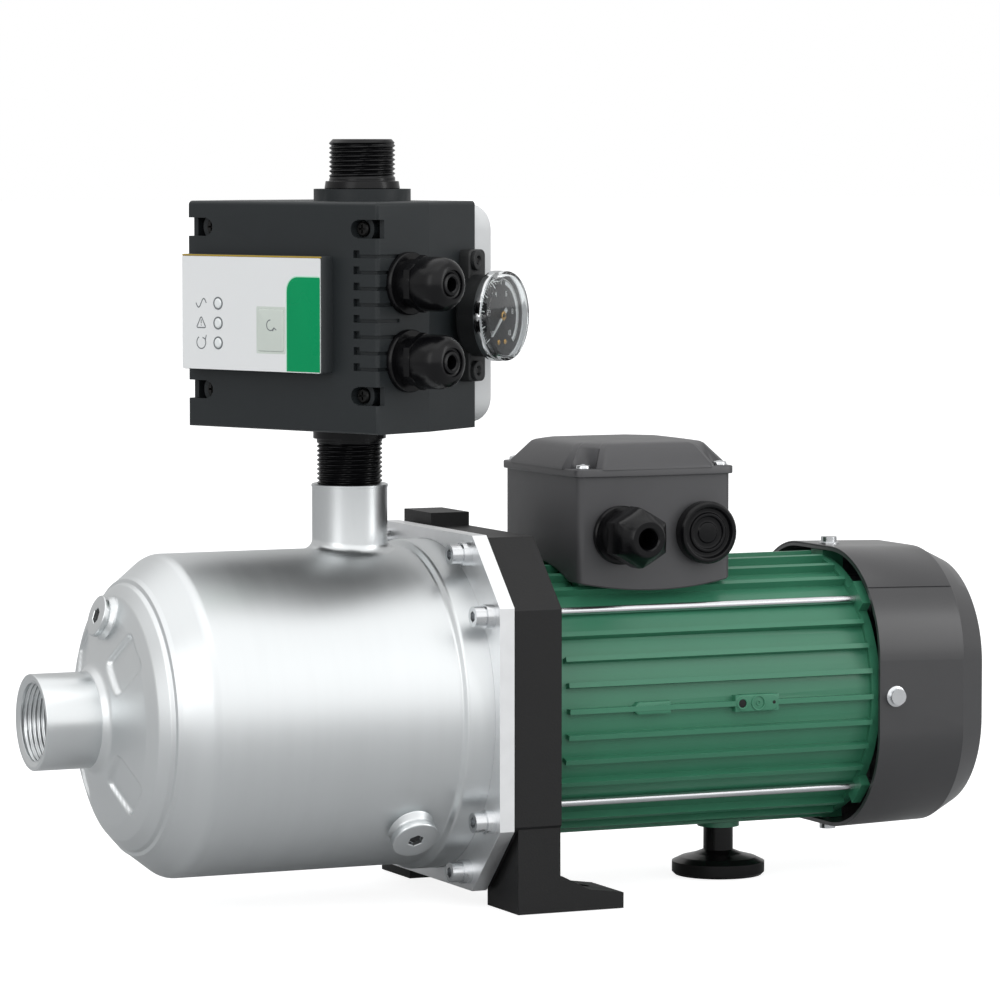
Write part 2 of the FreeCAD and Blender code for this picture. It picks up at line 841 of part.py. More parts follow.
# Seal plate behind the last stage, with the ring that seals it in the casing
seal_plate_radius = s.collar_radius - s.casing_wall - 0.1
groove_bottom = seal_plate_radius - s.seal_ring_section + 0.2
groove_half = s.seal_ring_section / 2 + 0.1
ring_middle = flange_back - s.seal_plate_thickness / 2
seal_plate = keep("seal_plate", new_body("seal_plate"))
revolve(
    seal_plate,
    [
        (seal_plate_front, s.seat_radius),
        (seal_plate_front, seal_plate_radius),
        (ring_middle - groove_half, seal_plate_radius),
        (ring_middle - groove_half, groove_bottom),
        (ring_middle + groove_half, groove_bottom),
        (ring_middle + groove_half, seal_plate_radius),
        (flange_back, seal_plate_radius),
        (flange_back, s.seat_bore),
        (seal_plate_front + s.seat_depth, s.seat_bore),
        (seal_plate_front + s.seat_depth, s.seat_radius),
    ],
)
casing_seal_ring = keep("casing_seal_ring", new_body("casing_seal_ring"))
revolve(
    casing_seal_ring,
    [
        (ring_middle - groove_half + 0.1, groove_bottom),
        (ring_middle + groove_half - 0.1, groove_bottom),
        (ring_middle + groove_half - 0.1, seal_plate_radius),
        (ring_middle, s.collar_radius - s.casing_wall),
        (ring_middle - groove_half + 0.1, seal_plate_radius),
    ],
)

# Shaft seal: a fixed seat in the plate, and a sprung head that turns against it
seat_back = seal_plate_front + s.seat_depth
seat_front = seat_back - s.seat_length
seal_seat = keep("seal_seat", new_body("seal_seat"))
revolve(seal_seat, ring_loop(seat_front, seat_back, s.seat_bore, s.seat_radius))
last_stage = stack_front + (STAGES - 1) * s.stage_pitch
hub_end = last_stage + 2 * s.chamber_wall + s.impeller_width + 1.5
seal_head = keep("seal_head", new_body("seal_head"))
revolve(
    seal_head,
    [
        (hub_end, s.pump_shaft_radius),
        (hub_end, s.seal_spring_radius),
        (seat_front - 7, s.seal_spring_radius),
        (seat_front - 7, s.seal_head_radius),
        (seat_front - 1.5, s.seal_head_radius),
        (seat_front - 1.5, s.seal_head_radius - 1.5),
        (seat_front, s.seal_head_radius - 1.5),
        (seat_front, s.pump_shaft_radius),
    ],
)


def disc(start, end, inner, outer):
    """A flat ring about the X axis, from one place to another, as Part makes it."""
    ring = Part.makeCylinder(outer.value, (end - start).value, Vector(start.value, 0, 0), Vector(1, 0, 0))
    if as_size(inner).value > 0:
        length = (end - start).value
        foot = Vector(start.value, 0, 0)
        ring = ring.cut(Part.makeCylinder(as_size(inner).value, length, foot, Vector(1, 0, 0)))
    return ring


def curved_vane(inner, outer, sweep, thickness, start, length):
    """A vane between two radii, bent back through an angle, as a strip between two arcs."""
    points = []
    for side in (-0.5, 0.5):
        row = []
        for share in (0.0, 0.5, 1.0):
            radius = inner + (outer - inner) * share
            angle = math.radians(sweep) * share**1.3 + side * thickness / radius
            row.append(Vector(start, radius * math.cos(angle), radius * math.sin(angle)))
        points.append(row)
    near, far = points
    edges = [
        Part.Arc(*near).toShape(),
        Part.makeLine(near[2], far[2]),
        Part.Arc(far[2], far[1], far[0]).toShape(),
        Part.makeLine(far[0], near[0]),
    ]
    return Part.Face(Part.Wire(edges)).extrude(Vector(length, 0, 0))


def spun(shape, count):
    """Copies of a shape set evenly about the X axis."""
    copies = []
    for index in range(count):
        copy = shape.copy()
        copy.rotate(Vector(0, 0, 0), Vector(1, 0, 0), 360 * index / count)
        copies.append(copy)
    return copies


def make_impeller(number, front):
    """A closed impeller: a hub, two shrouds with blades between, and an eye that runs in the stage wall."""
    eye_front = front + s.running_gap
    shroud_front = front + s.chamber_wall + 1.5
    shroud_back = shroud_front + s.impeller_width
    next_hub = front + s.stage_pitch + 2
    hub_back = hub_end if number == STAGES else next_hub
    channel = s.impeller_width - 2 * s.shroud_thickness
    eye = disc(eye_front, shroud_front + s.shroud_thickness, s.eye_bore, s.eye_radius - s.running_gap)
    cheek = disc(shroud_front, shroud_front + s.shroud_thickness, s.eye_bore, s.impeller_radius)
    back = disc(shroud_back - s.shroud_thickness, shroud_back, s.pump_shaft_radius, s.impeller_radius)
    hub = disc(front + 2, hub_back, s.pump_shaft_radius, s.hub_radius)
    blade = curved_vane(
        s.eye_bore.value + 1,
        s.impeller_radius.value - 0.6,
        -62,
        s.blade_thickness.value,
        (shroud_front + s.shroud_thickness - 0.2).value,
        channel.value + 0.4,
    )
    solid = eye.fuse([cheek, back, hub] + spun(blade, IMPELLER_BLADES)).removeSplitter()
    shaped(f"impeller_{number}", solid, SHAFT_LINE)


def make_stage_chamber(number, front):
    """A stage's cup: the wall in front of the impeller, the rim round it, and guide vanes behind it."""
    end = front + s.stage_pitch
    rim = disc(front, end, s.chamber_radius - s.chamber_wall, s.chamber_radius)
    wall = disc(front, front + s.chamber_wall, s.eye_radius, s.chamber_radius)
    vane = curved_vane(
        s.guide_vane_inner.value,
        (s.chamber_radius - s.chamber_wall / 2).value,
        38,
        s.guide_vane_thickness.value,
        (end - s.guide_vane_length - 0.5).value,
        s.guide_vane_length.value,
    )
    solid = rim.fuse([wall] + spun(vane, GUIDE_VANES)).removeSplitter()
    shaped(f"stage_chamber_{number}", solid, SHAFT_LINE)


for number in range(1, STAGES + 1):
    stage_front = stack_front + (number - 1) * s.stage_pitch
    make_impeller(number, stage_front)
    make_stage_chamber(number, stage_front)

# Suction guide: leads the water from the suction socket to the first impeller, and closes the first stage
suction_guide = keep("suction_guide", new_body("suction_guide"))
guide_inner = s.suction_guide_radius - s.suction_guide_wall
revolve(
    suction_guide,
    [
        (suction_root + s.crown_lift, guide_inner),
        (suction_root + s.crown_lift, s.suction_guide_radius),
        (stack_front - s.chamber_wall, s.suction_guide_radius),
        (stack_front - s.chamber_wall, s.chamber_radius),
        (stack_front, s.chamber_radius),
        (stack_front, guide_inner),
    ],
)

nut_back = stack_front + 2
nut_front = nut_back - s.nut_length
impeller_nut = keep("impeller_nut", new_body("impeller_nut"))
pad(impeller_nut, "YZ", [hex_loop(s.nut_flats), (0, 0, s.nut_thread_radius)], nut_front, s.nut_length)

shaft_end = fan_front + s.fan_hub_length + 3
shaft_shoulder = seal_plate_front + 1
rotor_shoulder = front_bearing + s.front_bearing_width
shaft = keep("shaft", new_body("shaft"))
revolve(
    shaft,
    [
        (nut_front - 3, 0),
        (nut_front - 3, s.nut_thread_radius - 1),
        (nut_front - 2, s.nut_thread_radius),
        (nut_back, s.nut_thread_radius),
        (nut_back, s.pump_shaft_radius),
        (shaft_shoulder, s.pump_shaft_radius),
        (shaft_shoulder, s.drive_shaft_radius),
        (rotor_shoulder, s.drive_shaft_radius),
        (rotor_shoulder, s.rotor_shaft_radius),
        (rear_bearing, s.rotor_shaft_radius),
        (rear_bearing, s.fan_shaft_radius),
        (shaft_end - 1, s.fan_shaft_radius),
        (shaft_end, s.fan_shaft_radius - 1),
        (shaft_end, 0),
    ],
)


def make_bracket():
    """The cast bracket between pump and motor: a plate with cut-off corners, bearing boss, legs and feet."""
    bracket = keep("bracket", new_body("bracket"))
    screw_holes = [(across, up, s.screw_shank_radius) for across, up in screw_centres]
    pad(bracket, "YZ", [octagon(s.bracket_half, s.bracket_flat_half)], flange_back, s.bracket_length)
    for side in (-1, 1):
        low, high = sorted((side * s.leg_inner, side * s.leg_outer), key=lambda size: size.value)
        leg_front = flange_back + s.leg_setback
        leg = box_loop(low, high, -s.axis_height, -s.leg_top)
        pad(bracket, "YZ", [leg], leg_front, s.bracket_length - s.leg_setback)
        make_foot(bracket, low, high)
    lug = box_loop(s.lug_inner, s.lug_outer, s.bracket_half - 10, s.bracket_half + s.lug_height)
    pad(bracket, "YZ", [lug], flange_back + s.lug_setback, s.bracket_length - s.lug_setback)
    boss_radius = s.front_bearing_radius + s.bearing_boss_wall
    recess_bottom = flange_back + s.bracket_front_recess
    pocket(bracket, "YZ", [(0, 0, s.bracket_recess_radius)], recess_bottom, s.bracket_front_recess)
    rear_loops = [(0, 0, s.spigot_radius), (0, 0, boss_radius)]
    pocket(bracket, "YZ", rear_loops, bracket_back, s.bracket_rear_recess)
    bore_depth = bracket_back - front_bearing
    pocket(bracket, "YZ", [(0, 0, s.front_bearing_radius)], bracket_back, bore_depth)
    pocket(bracket, "YZ", [(0, 0, s.drive_shaft_radius + 4)], bracket_back, s.bracket_length)
    pocket(bracket, "YZ", screw_holes, flange_back + s.screw_shank_length, s.screw_shank_length)
    rod_holes = [
        (s.tie_rod_circle * cosine(45 + 90 * k), s.tie_rod_circle * sine(45 + 90 * k), s.tie_rod_radius)
        for k in range(4)
    ]
    pocket(bracket, "YZ", rod_holes, bracket_back, s.bracket_rear_recess)
    bolt_holes = [(0, side * s.foot_bolt_half_spacing, s.foot_bolt_radius) for side in (-1, 1)]
    pocket(bracket, "XY", bolt_holes, -s.axis_height + s.foot_root_height, s.foot_root_height)


def make_foot(bracket, low, high):
    """A foot that slopes down from the back of its leg to its end."""
    floor = -s.axis_height
    back = flange_back + s.foot_length
    outline = [
        (bracket_back - 2, floor),
        (back, floor),
        (back, floor + s.foot_end_height),
        (back - 19, floor + s.foot_end_height + 2.6),
        (bracket_back + 1.2, floor + s.foot_root_height),
        (bracket_back - 2, floor + s.foot_root_height),
    ]
    pad(bracket, "XZ", [outline], -high, high - low)


make_bracket()


def make_bearing(name, start, width, bore, outer, ball):
    """A ball bearing: two rings with a groove each, and the balls between them."""
    middle = start + width / 2
    pitch = (bore + outer) / 2
    wall = (outer - bore) * 0.29
    track = ball + s.ball_gap
    rings = (("outer_ring", outer - wall, outer), ("inner_ring", bore, bore + wall))
    torus = Part.makeTorus(pitch.value, track.value, Vector(middle.value, 0, 0), Vector(1, 0, 0))
    for part_name, low, high in rings:
        ring = disc(start, start + width, low, high).cut(torus)
        shaped(f"{name}_{part_name}", ring, SHAFT_LINE)
    sphere = Part.makeSphere(ball.value, Vector(middle.value, 0, pitch.value))
    shaped(f"{name}_balls", Part.makeCompound(spun(sphere, BALLS)), SHAFT_LINE)


make_bearing(
    "front_bearing",
    front_bearing,
    s.front_bearing_width,
    s.drive_shaft_radius,
    s.front_bearing_radius,
    s.front_ball_radius,
)
make_bearing(
    "rear_bearing",
    rear_bearing,
    s.rear_bearing_width,
    s.fan_shaft_radius,
    s.rear_bearing_radius,
    s.rear_ball_radius,
)


def make_housing():
    """The ribbed motor housing, with a pad on top for the terminal box and a boss below for the foot."""
    housing = keep("stator_housing", new_body("stator_housing"))
    revolve(
        housing,
        [
            (bracket_back - s.spigot_length, s.housing_bore),
            (bracket_back - s.spigot_length, s.spigot_radius - 0.1),
            (bracket_back, s.spigot_radius - 0.1),
            (bracket_back, s.housing_radius),
            (motor_back, s.housing_radius),
            (motor_back, s.housing_bore),
        ],
    )
    pad_low = box_x - s.pad_half_length
    pad_high = box_x + s.pad_half_length
    top = box_loop(pad_low, pad_high, -s.pad_half_width, s.pad_half_width)
    pad(housing, "XY", [top], s.pad_half_width, s.pad_top - s.pad_half_width)
    pad(housing, "XY", [(support_x, 0, s.support_boss_radius)], -s.support_boss_drop, 12)
    pocket(housing, "YZ", [(0, 0, s.housing_bore)], motor_back, s.motor_length)
    mark_foot = s.housing_radius - 3
    mark_height = s.rib_tip_radius - mark_foot - 0.5
    arrow_low = bracket_back + s.arrow_mark_setback
    arrow_high = arrow_low + s.arrow_mark_length
    arrow = [
        (arrow_low, 0),
        (arrow_low + s.mark_rise, -s.mark_rise),
        (arrow_high, -s.mark_rise),
        (arrow_high, s.mark_rise),
        (arrow_low + s.mark_rise, s.mark_rise),
    ]
    pad(housing, "XZ", [arrow], mark_foot, mark_height)
    earth_low = bracket_back + s.earth_mark_setback
    earth_high = earth_low + s.earth_mark_length
    earth = box_loop(earth_low, earth_high, -s.mark_rise - 1, s.mark_rise + 1)
    pad(housing, "XZ", [earth], mark_foot, mark_height + 0.3)
    ribs = []
    half = s.rib_width / 2
    for k in range(RIBS_PER_SIDE):
        turn = 90 + (k - (RIBS_PER_SIDE - 1) / 2) * s.rib_step_angle
        low = s.housing_radius - 1
        across, up = cosine(turn), sine(turn)
        ribs.append(
            [
                (low * across + half * up, low * up - half * across),
                (s.rib_tip_radius * across + half * up, s.rib_tip_radius * up - half * across),
                (s.rib_tip_radius * across - half * up, s.rib_tip_radius * up + half * across),
                (low * across - half * up, low * up + half * across),
            ]
        )
    rib_pad = pad(housing, "YZ", ribs, bracket_back + s.rib_start, s.motor_length - s.rib_start)
    around(housing, rib_pad, 4)


make_housing()

# Stator core with its slots, and the coils that lie in them and turn over at both ends
slot_top = s.stator_bore + s.slot_depth


def slot_loops(width, low, high):
    loops = []
    for k in range(STATOR_SLOTS):
        turn = 360 * k / STATOR_SLOTS
        across, up = cosine(turn), sine(turn)
        half = width / 2
        loops.append(
            [
                (low * across + half * up, low * up - half * across),
                (high * across + half * up, high * up - half * across),
                (high * across - half * up, high * up + half * across),
                (low * across - half * up, low * up + half * across),
            ]
        )
    return loops


stator_core = keep("stator_core", new_body("stator_core"))
revolve(stator_core, ring_loop(core_front, core_back, s.stator_bore, s.housing_bore - 0.05))
pocket(stator_core, "YZ", slot_loops(s.slot_width, s.stator_bore - 1, slot_top), core_back, s.core_length)
stator_windings = keep("stator_windings", new_body("stator_windings"))
coil_low = s.stator_bore + 4
coil_high = slot_top - 0.2
coil_outer = slot_top + 5
revolve(
    stator_windings,
    [
        (core_front - s.winding_overhang, coil_low + 4),
        (core_front - s.winding_overhang, coil_outer - 4),
        (core_front - s.winding_overhang + 4, coil_outer),
        (core_front - 0.3, coil_outer),
        (core_front - 0.3, coil_low),
        (core_front - s.winding_overhang + 4, coil_low),
    ],
)
bar_loops = slot_loops(s.slot_width - 0.4, coil_low, coil_high)
pad(stator_windings, "YZ", bar_loops, core_front - 1, s.core_length + 2)
revolve(
    stator_windings,
    [
        (core_back + s.winding_overhang, coil_low + 4),
        (core_back + s.winding_overhang, coil_outer - 4),
        (core_back + s.winding_overhang - 4, coil_outer),
        (core_back + 0.3, coil_outer),
        (core_back + 0.3, coil_low),
        (core_back + s.winding_overhang - 4, coil_low),
    ],
)

rotor_core = keep("rotor_core", new_body("rotor_core"))
rotor_radius = s.stator_bore - s.air_gap
revolve(
    rotor_core,
    [
        (core_front - s.end_ring_length, s.rotor_shaft_radius),
        (core_front - s.end_ring_length, s.end_ring_radius),
        (core_front, s.end_ring_radius),
        (core_front, rotor_radius),
        (core_back, rotor_radius),
        (core_back, s.end_ring_radius),
        (core_back + s.end_ring_length, s.end_ring_radius),
        (core_back + s.end_ring_length, s.rotor_shaft_radius),
    ],
)


def make_rear_shield():
    """The rear end shield: a disc with the bearing boss, and lugs for the tie rods and the fan cover."""
    shield = keep("rear_end_shield", new_body("rear_end_shield"))
    boss_radius = s.rear_bearing_radius + s.bearing_boss_wall
    plate_back = motor_back + s.shield_thickness
    revolve(
        shield,
        [
            (plate_back, s.fan_shaft_radius + 4),
            (plate_back, s.shield_radius),
            (motor_back, s.shield_radius),
            (motor_back, s.housing_bore - 0.05),
            (motor_back - 5, s.housing_bore - 0.05),
            (motor_back - 5, s.housing_bore - 5),
            (motor_back, s.housing_bore - 5),
            (motor_back, boss_radius),
            (rear_bearing, boss_radius),
            (rear_bearing, s.rear_bearing_radius),
            (rear_bearing_back, s.rear_bearing_radius),
            (rear_bearing_back, s.fan_shaft_radius + 4),
        ],
    )
    lugs = []
    half = s.shield_lug_width / 2
    low = s.shield_radius - 8
    for k in range(4):
        across, up = cosine(45 + 90 * k), sine(45 + 90 * k)
        lugs.append(
            [
                (low * across + half * up, low * up - half * across),
                (s.shield_lug_radius * across + half * up, s.shield_lug_radius * up - half * across),
                (s.shield_lug_radius * across - half * up, s.shield_lug_radius * up + half * across),
                (low * across - half * up, low * up + half * across),
            ]
        )
    pad(shield, "YZ", lugs, motor_back, s.shield_thickness)
    half = s.cover_lug_width / 2
    high = s.cover_half - s.cover_wall - 0.6
    block = box_loop(-half, half, high - 12, high)
    feature = pad(shield, "YZ", [block], plate_back - 1, s.cover_lug_length + 1)
    around(shield, feature, 4)
    rod_holes = [
        (s.tie_rod_circle * cosine(45 + 90 * k), s.tie_rod_circle * sine(45 + 90 * k), s.tie_rod_radius)
        for k in range(4)
    ]
    pocket(shield, "YZ", rod_holes, plate_back, s.shield_thickness)
    return shield


rear_shield = make_rear_shield()

tie_rod = new_body("tie_rod", Placement())
rod_front = bracket_back - s.bracket_rear_recess
rod_back = motor_back + s.shield_thickness
revolve(
    tie_rod,
    [
        (rod_front, 0),
        (rod_front, s.tie_rod_radius),
        (rod_back, s.tie_rod_radius),
        (rod_back, s.tie_rod_nut_radius),
        (rod_back + s.tie_rod_nut_length, s.tie_rod_nut_radius),
        (rod_back + s.tie_rod_nut_length, s.tie_rod_radius),
        (rod_back + s.tie_rod_nut_length + 2, s.tie_rod_radius),
        (rod_back + s.tie_rod_nut_length + 2, 0),
    ],
)
rod_places = [
    turned_about_shaft(45 + 90 * k).multiply(
        Placement(Vector(0, 0, (s.axis_height + s.tie_rod_circle).value), Rotation())
    )
    for k in range(4)
]
set_out("tie_rods", tie_rod, rod_places)


def make_fan():
    """A radial fan: straight blades on a disc, so that it works whichever way it turns."""
    back = fan_front + s.fan_hub_length
    hub = disc(fan_front, back, s.fan_shaft_radius, s.fan_hub_radius)
    plate = disc(fan_front, fan_front + 2.4, s.fan_shaft_radius, s.fan_radius - 8)
    half = s.fan_blade_thickness.value / 2
    low = (s.fan_hub_radius - 1).value
    high = s.fan_radius.value
    start = (fan_front + 0.6).value
    blade = Part.makeBox(s.fan_blade_length.value, 2 * half, high - low, Vector(start, -half, low))
    shaped("fan", hub.fuse([plate] + spun(blade, FAN_BLADES)).removeSplitter(), SHAFT_LINE)


make_fan()


def rounded_square(place, half, corner):
    """A square with round corners across the X axis, at a place along it."""
    flat = half - corner
    diagonal = flat + corner * math.sqrt(0.5)
    edges = []
    for k in range(4):
        turn = Rotation(Vector(1, 0, 0), 90 * k)
        start = turn.multVec(Vector(place, half, -flat))
        end = turn.multVec(Vector(place, half, flat))
        middle = turn.multVec(Vector(place, diagonal, diagonal))
        following = turn.multVec(Vector(place, flat, half))
        edges.append(Part.makeLine(start, end))
        edges.append(Part.Arc(end, middle, following).toShape())
    return Part.Wire(edges)


def cover_form(inset, front, back_inset):
    """The fan cover's form, drawn in from its outside by an inset all round."""
    side_end = (cover_front + s.cover_side_length).value
    back = side_end + s.cover_bevel_length.value - back_inset
    corner = s.cover_corner.value - inset
    side_half = s.cover_half.value - s.cover_taper.value - inset
    back_half = side_half - s.cover_bevel_rise.value
    sections = [
        rounded_square(front, s.cover_half.value - inset, corner),
        rounded_square(side_end, side_half, corner),
        rounded_square(back, back_half, corner - s.cover_bevel_rise.value / 2),
    ]
    return Part.makeLoft(sections[:2], True, True).fuse(Part.makeLoft(sections[1:], True, True))


def make_fan_cover():
    """The fan cover: a shell of rounded square section with a bevelled back and a grille of level slots."""
    wall = s.cover_wall.value
    front = cover_front.value
    shell = cover_form(0, front, 0).cut(cover_form(wall, front - 1e-3, wall))
    back = (cover_front + s.cover_side_length + s.cover_bevel_length).value
    slots = []
    for k in range(GRILLE_SLOTS):
        height = (k - (GRILLE_SLOTS - 1) / 2) * s.grille_pitch.value
        half = math.sqrt(s.grille_radius.value**2 - height**2)
        low = height - s.grille_slot.value / 2
        corner = Vector(back - wall - 2, -half, low)
        slots.append(Part.makeBox(wall + 4, 2 * half, s.grille_slot.value, corner))
    screw_x = (cover_front + s.cover_screw_setback).value
    for k in range(4):
        direction = Rotation(Vector(1, 0, 0), 90 * k).multVec(Vector(0, 0, 1))
        centre = Vector(screw_x, 0, 0) + direction * (s.cover_half.value - 5)
        slots.append(Part.makeCylinder(s.cover_screw_radius.value + 0.3, 10, centre, direction))
    shaped("fan_cover", shell.cut(slots).removeSplitter(), SHAFT_LINE)


make_fan_cover()

screw_x = cover_front + s.cover_screw_setback
screw_hole_loop = [(screw_x, 0, s.cover_screw_radius)]
for side, plane in ((1, "XY"), (-1, "XY"), (1, "XZ"), (-1, "XZ")):
    hole_top = s.cover_half if side > 0 else -s.cover_half + 15
    pocket(rear_shield, plane, screw_hole_loop, hole_top, 15)

cover_screw = new_body("cover_screw", Placement())
head_seat = s.cover_half - s.cover_taper * s.cover_screw_setback / s.cover_side_length + 0.15
head_top = head_seat + s.cover_screw_head_length
revolve(
    cover_screw,
    [
        (0, s.cover_half - 12),
        (s.cover_screw_radius, s.cover_half - 12),
        (s.cover_screw_radius, head_seat),
        (s.cover_screw_head_radius, head_seat),
        (s.cover_screw_head_radius, head_seat + 1),
        (s.cover_screw_head_radius - 1.2, head_seat + 1.4),
        (s.cover_screw_head_radius - 1.2, head_top),
        (0, head_top),
    ],
    upright=True,
)
screw_place = Placement(Vector(screw_x.value, 0, s.axis_height.value), Rotation())
set_out(
    "fan_cover_screws",
    cover_screw,
    [turned_about_shaft(90 * k).multiply(screw_place) for k in range(4)],
)

support_place = Placement(Vector(support_x.value, 0, 0), Rotation())
support_foot = keep("support_foot", new_body("support_foot", support_place))
support_foot.setExpression("Placement.Base.x", support_x.text)
stem_top = s.axis_height - s.support_boss_drop
revolve(
    support_foot,
    [
        (0, 0),
        (s.support_radius - 1.5, 0),
        (s.support_radius, 1.5),
        (s.support_radius, s.support_rim_height),
        (s.support_radius - 4.5, s.support_rim_height + 2.2),
        (s.support_stem_radius + 5, s.support_bell_height - 1),
        (s.support_stem_radius, s.support_bell_height + 1),
        (s.support_stem_radius, stem_top),
        (0, stem_top),
    ],
    upright=True,
)


def cut_square(centre, half_x, half_y, cut):
    """A rectangle with its corners cut off, so that a cavity of this form leaves the corners solid."""
    return [
        (centre + half_x, -half_y + cut),
        (centre + half_x, half_y - cut),
        (centre + half_x - cut, half_y),
        (centre - half_x + cut, half_y),
        (centre - half_x, half_y - cut),
        (centre - half_x, -half_y + cut),
        (centre - half_x + cut, -half_y),
        (centre + half_x - cut, -half_y),
    ]


def rectangle(centre, half_x, half_y):
    return box_loop(centre - half_x, centre + half_x, -half_y, half_y)


def upright_edge(edge):
    """Says whether an edge stands along Z."""
    ends = [vertex.Point for vertex in edge.Vertexes]
    return len(ends) == 2 and (ends[1] - ends[0]).cross(Vector(0, 0, 1)).Length < 1e-6


lid_screw_spots = [
    (box_x + side * (s.box_half_length - s.lid_screw_inset), up * (s.box_half_width - s.lid_screw_inset))
    for side in (-1, 1)
    for up in (-1, 1)
]
box_floor = s.pad_top + s.box_wall
gland_x = box_x - s.gland_offset
blank_x = box_x + s.blank_offset


def make_terminal_box():
    """The box sits over the pad on the housing; its skirt reaches down past the pad and clears the ribs."""
    box = keep("terminal_box", new_body("terminal_box"))
    height = s.box_top - s.box_bottom
    pad(box, "XY", [rectangle(box_x, s.box_half_length, s.box_half_width)], s.box_bottom, height)
    soften(box, s.box_edge, upright_edge)
    inner_x = s.box_half_length - s.box_wall
    inner_y = s.box_half_width - s.box_wall
    posts = cut_square(box_x, inner_x, inner_y, s.box_corner)
    pocket(box, "XY", [posts], s.box_top, s.box_post_length)
    cavity = cut_square(box_x, inner_x, inner_y, 4)
    cavity_top = s.box_top - s.box_post_length
    pocket(box, "XY", [cavity], cavity_top, cavity_top - box_floor)
    pocket(box, "XY", [cavity], s.pad_top, s.pad_top - s.box_bottom)
    clear = s.rib_tip_radius + 0.4
    groove(box, ring_loop(box_x - s.box_half_length - 2, box_x + s.box_half_length + 2, 0, clear))
    screw_holes = [(across, up, s.lid_screw_radius) for across, up in lid_screw_spots]
    pocket(box, "XY", screw_holes, s.box_top, s.lid_screw_length)
    entries = [(place, s.entry_height, s.entry_bore) for place in (gland_x, blank_x)]
    pocket(box, "XZ", entries, s.box_half_width, s.box_wall + 0.01)


def loft(body, kind, sections):
    """Joins outlines at rising heights with straight sides: an additive or a subtractive loft."""
    sketches = [drawing(body, "XY", [loop], height) for loop, height in sections]
    feature = body.newObject("PartDesign::" + kind + "Loft", body.Name + "_loft")
    feature.Profile = sketches[0]
    feature.Sections = sketches[1:]
    feature.Ruled = True
    return feature


def make_lid():
    lid = keep("terminal_lid", new_body("terminal_lid"))
    lip_x = s.box_half_length + s.lid_lip
    lip_y = s.box_half_width + s.lid_lip
    skirt_top = s.box_top + s.lid_skirt
    lid_top = s.box_top + s.lid_height
    pad(lid, "XY", [rectangle(box_x, lip_x, lip_y)], s.box_top, s.lid_skirt)
    soften(lid, s.box_edge, upright_edge)
    base = cut_square(box_x, lip_x - 0.5, lip_y - 0.5, s.lid_corner)
    top = cut_square(box_x, lip_x - s.lid_inset, lip_y - s.lid_inset, s.lid_corner - 4)
    loft(lid, "Additive", [(base, skirt_top), (top, lid_top)])
    inner_x = lip_x - s.lid_wall - 2
    inner_y = lip_y - s.lid_wall - 2
    cut = s.box_corner + 3
    inner_low = cut_square(box_x, inner_x, inner_y, cut)
    inner_high = cut_square(box_x, inner_x - s.lid_inset, inner_y - s.lid_inset, cut - 4)
    loft(lid, "Subtractive", [(inner_low, s.box_top), (inner_high, lid_top - s.lid_wall)])
    pockets = [(across, up, s.lid_pocket_radius) for across, up in lid_screw_spots]
    pocket(lid, "XY", pockets, lid_top, s.lid_height - 3.5)
    holes = [(across, up, s.lid_screw_radius + 0.2) for across, up in lid_screw_spots]
    pocket(lid, "XY", holes, s.box_top + 3.5, 3.5)


make_terminal_box()
make_lid()

lid_screw = new_body("lid_screw", Placement())
revolve(
    lid_screw,
    [
        (0, -s.lid_screw_length + 1),
        (s.lid_screw_radius, -s.lid_screw_length + 1),
        (s.lid_screw_radius, 0),
        (s.lid_screw_head_radius, 0),
        (s.lid_screw_head_radius, s.lid_screw_head_length - 0.8),
        (s.lid_screw_head_radius - 0.8, s.lid_screw_head_length),
        (0, s.lid_screw_head_length),
    ],
    upright=True,
)
pocket(lid_screw, "XY", [box_loop(-0.6, 0.6, -3, 3)], s.lid_screw_head_length, 1.2)
set_out(
    "lid_screws",
    lid_screw,
    [
        pointing((across.value, up.value, (s.box_top + 3.5).value), (0, 0, 1), SHAFT_LINE)
        for across, up in lid_screw_spots
    ],
)

terminal_block = keep("terminal_block", new_body("terminal_block"))
pad(terminal_block, "XY", [box_loop(box_x - 26, box_x + 26, -24, -6)], box_floor, 14)
pad(terminal_block, "XY", [box_loop(box_x - 26, box_x + 26, -19, -11)], box_floor, 19)
pocket(
    terminal_block,
    "XY",
    [(box_x + 8 * k - 20, across, 2.2) for k in range(6) for across in (-21.5, -8.5)],
    box_floor + 14,
    6,
)
capacitor_height = s.axis_height + box_floor + s.capacitor_radius
capacitor_place = Placement(Vector(box_x.value, 19, capacitor_height.value), Rotation())
capacitor = keep("capacitor", new_body("capacitor", capacitor_place))
capacitor_half = s.capacitor_length / 2
revolve(
    capacitor,
    [
        (-capacitor_half, 0),
        (-capacitor_half, s.capacitor_radius - 1.5),
        (-capacitor_half + 1.5, s.capacitor_radius),
        (capacitor_half - 4, s.capacitor_radius),
        (capacitor_half - 4, 6),
        (capacitor_half, 6),
        (capacitor_half, 0),
    ],
)

